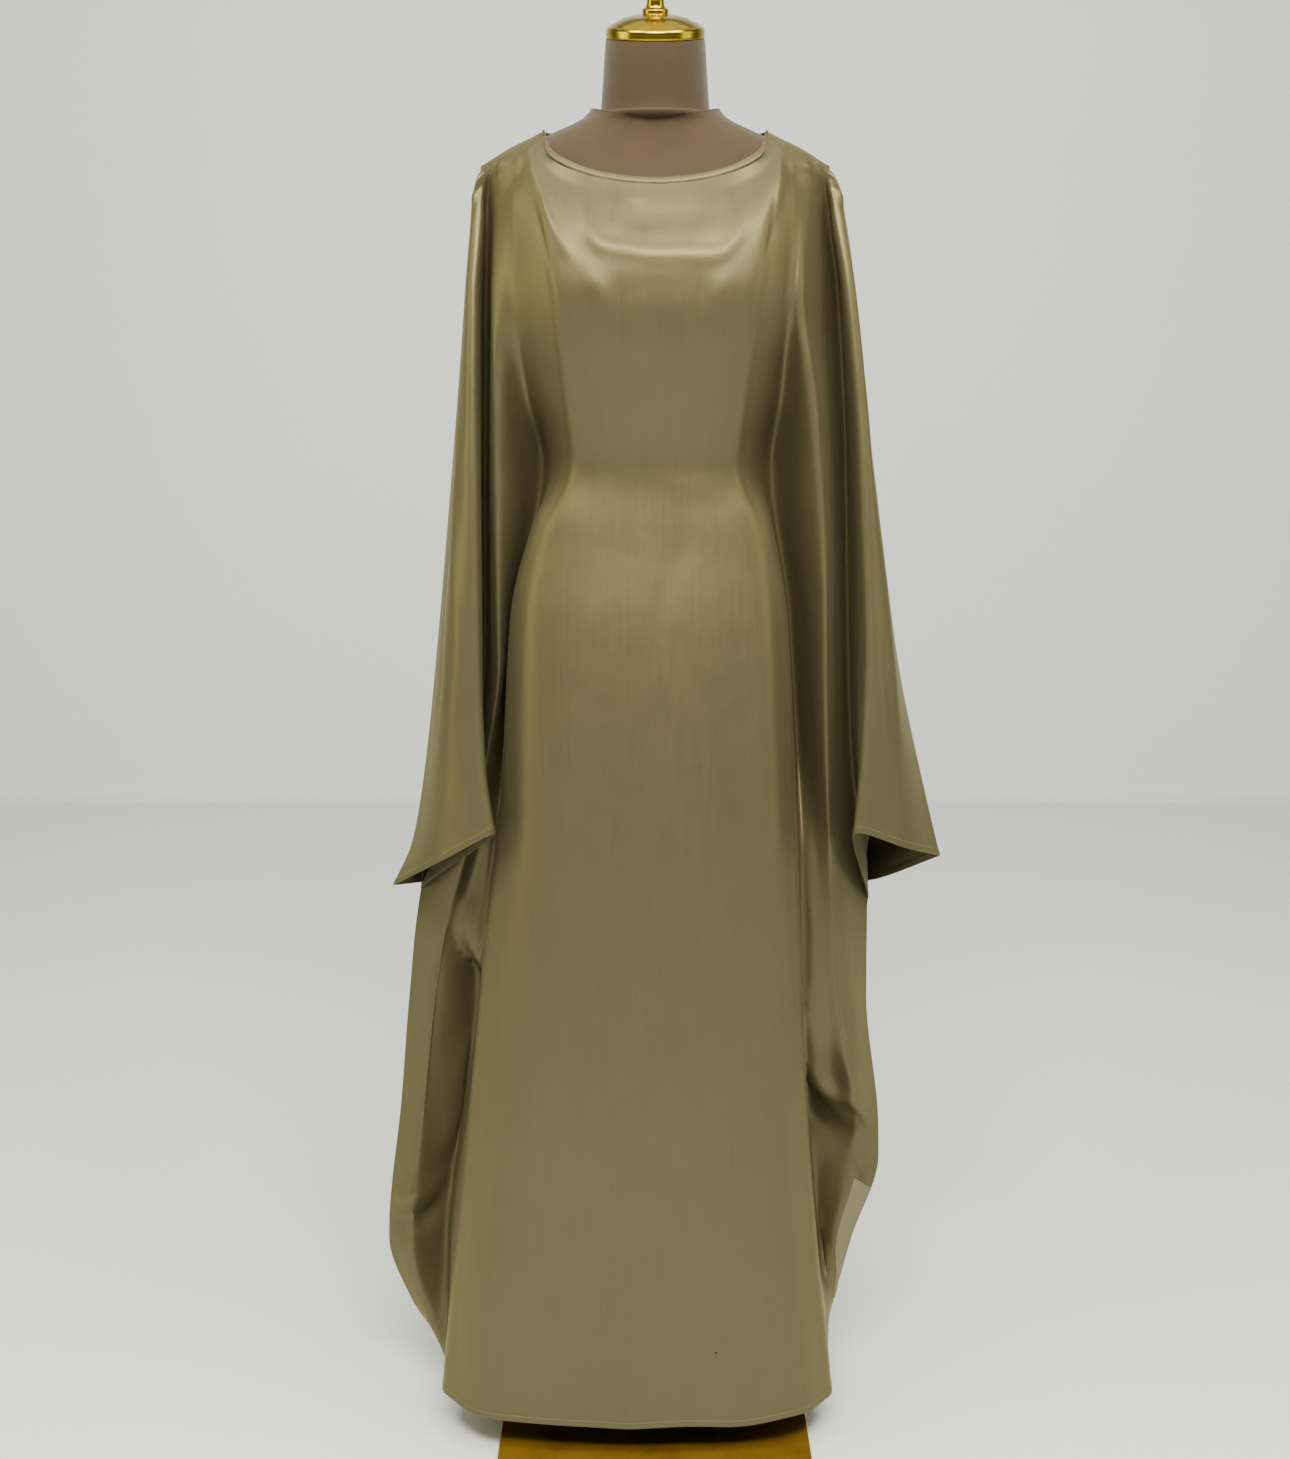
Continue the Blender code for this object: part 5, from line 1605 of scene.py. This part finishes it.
def make_facing(front, material):
    """The side seam's turned facing where it shows, low on the right: the paler reverse, folded out."""
    normals = front.normals()
    column = front.middle + front.seam
    rows = []
    for i in np.nonzero(front.there[:, column])[0]:
        height = front.points[i, column, 2]
        if i <= front.cuff_row or not FACING_LOW < height < FACING_HIGH:
            continue
        width = FACING_WIDTH * smooth_step(0.35 + 0.8 * (height - FACING_LOW) / (FACING_HIGH - FACING_LOW))
        there = np.arange(front.middle, column + 1)
        row = []
        for step in range(FACING_COLUMNS + 1):
            reach = front.across[i, column] - 0.0012 - width * (1 - step / FACING_COLUMNS)
            at = np.interp(reach, front.across[i, there], there)
            j = min(int(at), column - 1)
            place = Vector(front.points[i, j]).lerp(Vector(front.points[i, j + 1]), at - j)
            normal = Vector(normals[i, j])
            edge = min(step, FACING_COLUMNS - step) / FACING_COLUMNS
            lift = 0.0006 + 0.0012 * smooth_step(4 * edge)
            lift += 0.0005 * math.sin(height * 210 + step) * smooth_step(3 * edge)
            row.append(place + normal * lift)
        rows.append(row)
    count = FACING_COLUMNS + 1
    places = [place for row in rows for place in row]
    under = [place + Vector((0, 0.0004, 0)) for place in places]
    faces, total = [], len(places)
    for k in range(len(rows) - 1):
        for step in range(FACING_COLUMNS):
            a = k * count + step
            ring = (a, a + count, a + count + 1, a + 1)
            faces += [ring, tuple(total + n for n in reversed(ring))]
    rim = [step for step in range(count)]
    rim += [k * count + FACING_COLUMNS for k in range(1, len(rows))]
    rim += [(len(rows) - 1) * count + step for step in range(FACING_COLUMNS - 1, -1, -1)]
    rim += [k * count for k in range(len(rows) - 2, 0, -1)]
    for a, b in zip(rim, (*rim[1:], rim[0])):
        faces.append((a, b, total + b, total + a))
    facing = plain_mesh("side_seam_facing", [*places, *under], faces, material)
    lay_weave(facing)
    return facing


def make_studio():
    """A pale floor that turns up softly into the wall behind."""
    paper = studio_look("studio", PAPER, PAPER_DEEP)
    profile = [(FLOOR_FRONT, 0.0), (WALL_PLACE - SWEEP, 0.0)]
    for k in range(1, 13):
        turn = math.pi / 2 * k / 12
        profile.append((WALL_PLACE - SWEEP + SWEEP * math.sin(turn), SWEEP * (1 - math.cos(turn))))
    profile.append((WALL_PLACE, WALL_TOP))
    places = [(x, y, z) for y, z in profile for x in (-WALL_HALF_WIDTH, WALL_HALF_WIDTH)]
    faces = [(2 * k, 2 * k + 1, 2 * k + 3, 2 * k + 2) for k in range(len(profile) - 1)]
    return plain_mesh("studio", places, faces, paper)


def area_light(name, place, target, size, power, colour=(1, 1, 1)):
    data = bpy.data.lights.new(name, "AREA")
    data.shape = "RECTANGLE"
    data.size, data.size_y = size
    data.energy = power
    data.color = colour
    light = bpy.data.objects.new(name, data)
    light.location = place
    light.rotation_euler = (Vector(target) - Vector(place)).to_track_quat("-Z", "Y").to_euler()
    bpy.context.scene.collection.objects.link(light)


def make_light():
    scene = bpy.context.scene
    world = bpy.data.worlds.new("studio air")
    world.use_nodes = True
    background = world.node_tree.nodes["Background"]
    background.inputs["Color"].default_value = AIR_TINT
    background.inputs["Strength"].default_value = AIR
    scene.world = world
    for name, place, target, size, power, colour in LIGHTS:
        area_light(name, place, target, size, power, colour)
    data = bpy.data.cameras.new("camera")
    data.lens = CAMERA_LENS
    data.sensor_width = SENSOR
    data.clip_end = 60
    camera = bpy.data.objects.new("camera", data)
    camera.location = CAMERA_PLACE
    camera.rotation_euler = (math.radians(90 - CAMERA_DOWN), 0, 0)
    scene.collection.objects.link(camera)
    scene.camera = camera


def main():
    satin = satin_look("satin", SATIN, SATIN_DEEP, *SATIN_FINISH, marked=True)
    reverse = satin_look("satin reverse", REVERSE, REVERSE_DEEP, *REVERSE_FINISH)
    bound = satin_look("satin binding", SATIN, SATIN_DEEP, *BINDING_FINISH)
    turned_in = satin_look("satin facing", FACING, FACING_DEEP, *FACING_FINISH)
    cover = jersey_look()
    gold = metal_look("gold plating", GOLD, GOLD_DEEP, *GOLD_FINISH)
    # The base plate's plating is a darker copy of the gold, with painted shade
    shaded_base_gold = metal_look("base plate plating with painted shade", BASE_GOLD_PAINTED_SHADE, BASE_GOLD_PAINTED_SHADE_DEEP, *BASE_FINISH)
    sewing = thread_look()

    torso, neck = make_form(cover)
    cap, pole, collar, base = make_metal(gold, shaded_base_gold)
    corners = [vert.co.copy() for vert in torso.data.vertices]
    tree = BVHTree.FromPolygons(corners, [tuple(face.vertices) for face in torso.data.polygons])
    front = Sheet(front_lines, FRONT_FOLDS, -1, tree)
    back = Sheet(back_lines, BACK_FOLDS, 1, tree)
    for fold in FRONT_FORWARD:
        front.bring_forward(*fold)
    front.drape(FRONT_CREASES, 3)
    back.drape(BACK_CREASES, 7)
    back.lower_cuffs(BACK_CUFF_SAG)
    front.measure()
    back.measure()
    front_cloth = cloth_piece("front_cloth", front, satin, reverse)
    back_cloth = cloth_piece("back_cloth", back, satin, reverse)
    binding, edge_row = make_binding(front, back, tree, bound)
    facing = make_facing(front, turned_in)
    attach(facing, "root")

    pieces = {
        front_cloth: ("front_panel", "satin"),
        back_cloth: ("back_panel", "satin"),
        binding: ("neck_binding", "satin_binding"),
        torso: ("form_torso", "form_cover"),
        neck: ("form_neck", "form_cover"),
        cap: ("neck_cap", "gold"),
        pole: ("pole", "gold"),
        collar: ("pole_collar", "gold"),
        base: ("base_plate", "gold"),
    }
    for made, (node, slot) in pieces.items():
        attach(made, "root")
        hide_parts(node)
    trims = {}
    for sheet, name in ((front, "front"), (back, "back")):
        rows = [sheet_row(sheet, STITCH_LINE, -sheet.seam + 2, sheet.seam - 2)]
        rows.append(sheet_row(sheet, STITCH_LINE, -sheet.middle + 2, -sheet.seam - 3))
        rows.append(sheet_row(sheet, STITCH_LINE, sheet.seam + 3, sheet.middle - 2))
        stitches = thread(f"{name}_hem_stitching", rows, sewing)
        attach(stitches, "root")
        trims[name] = [stitches]
    trims["front"].append(facing)
    edge = thread("neckline_stitching", [edge_row], sewing)
    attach(edge, "root")

    make_studio()
    make_light()


main()
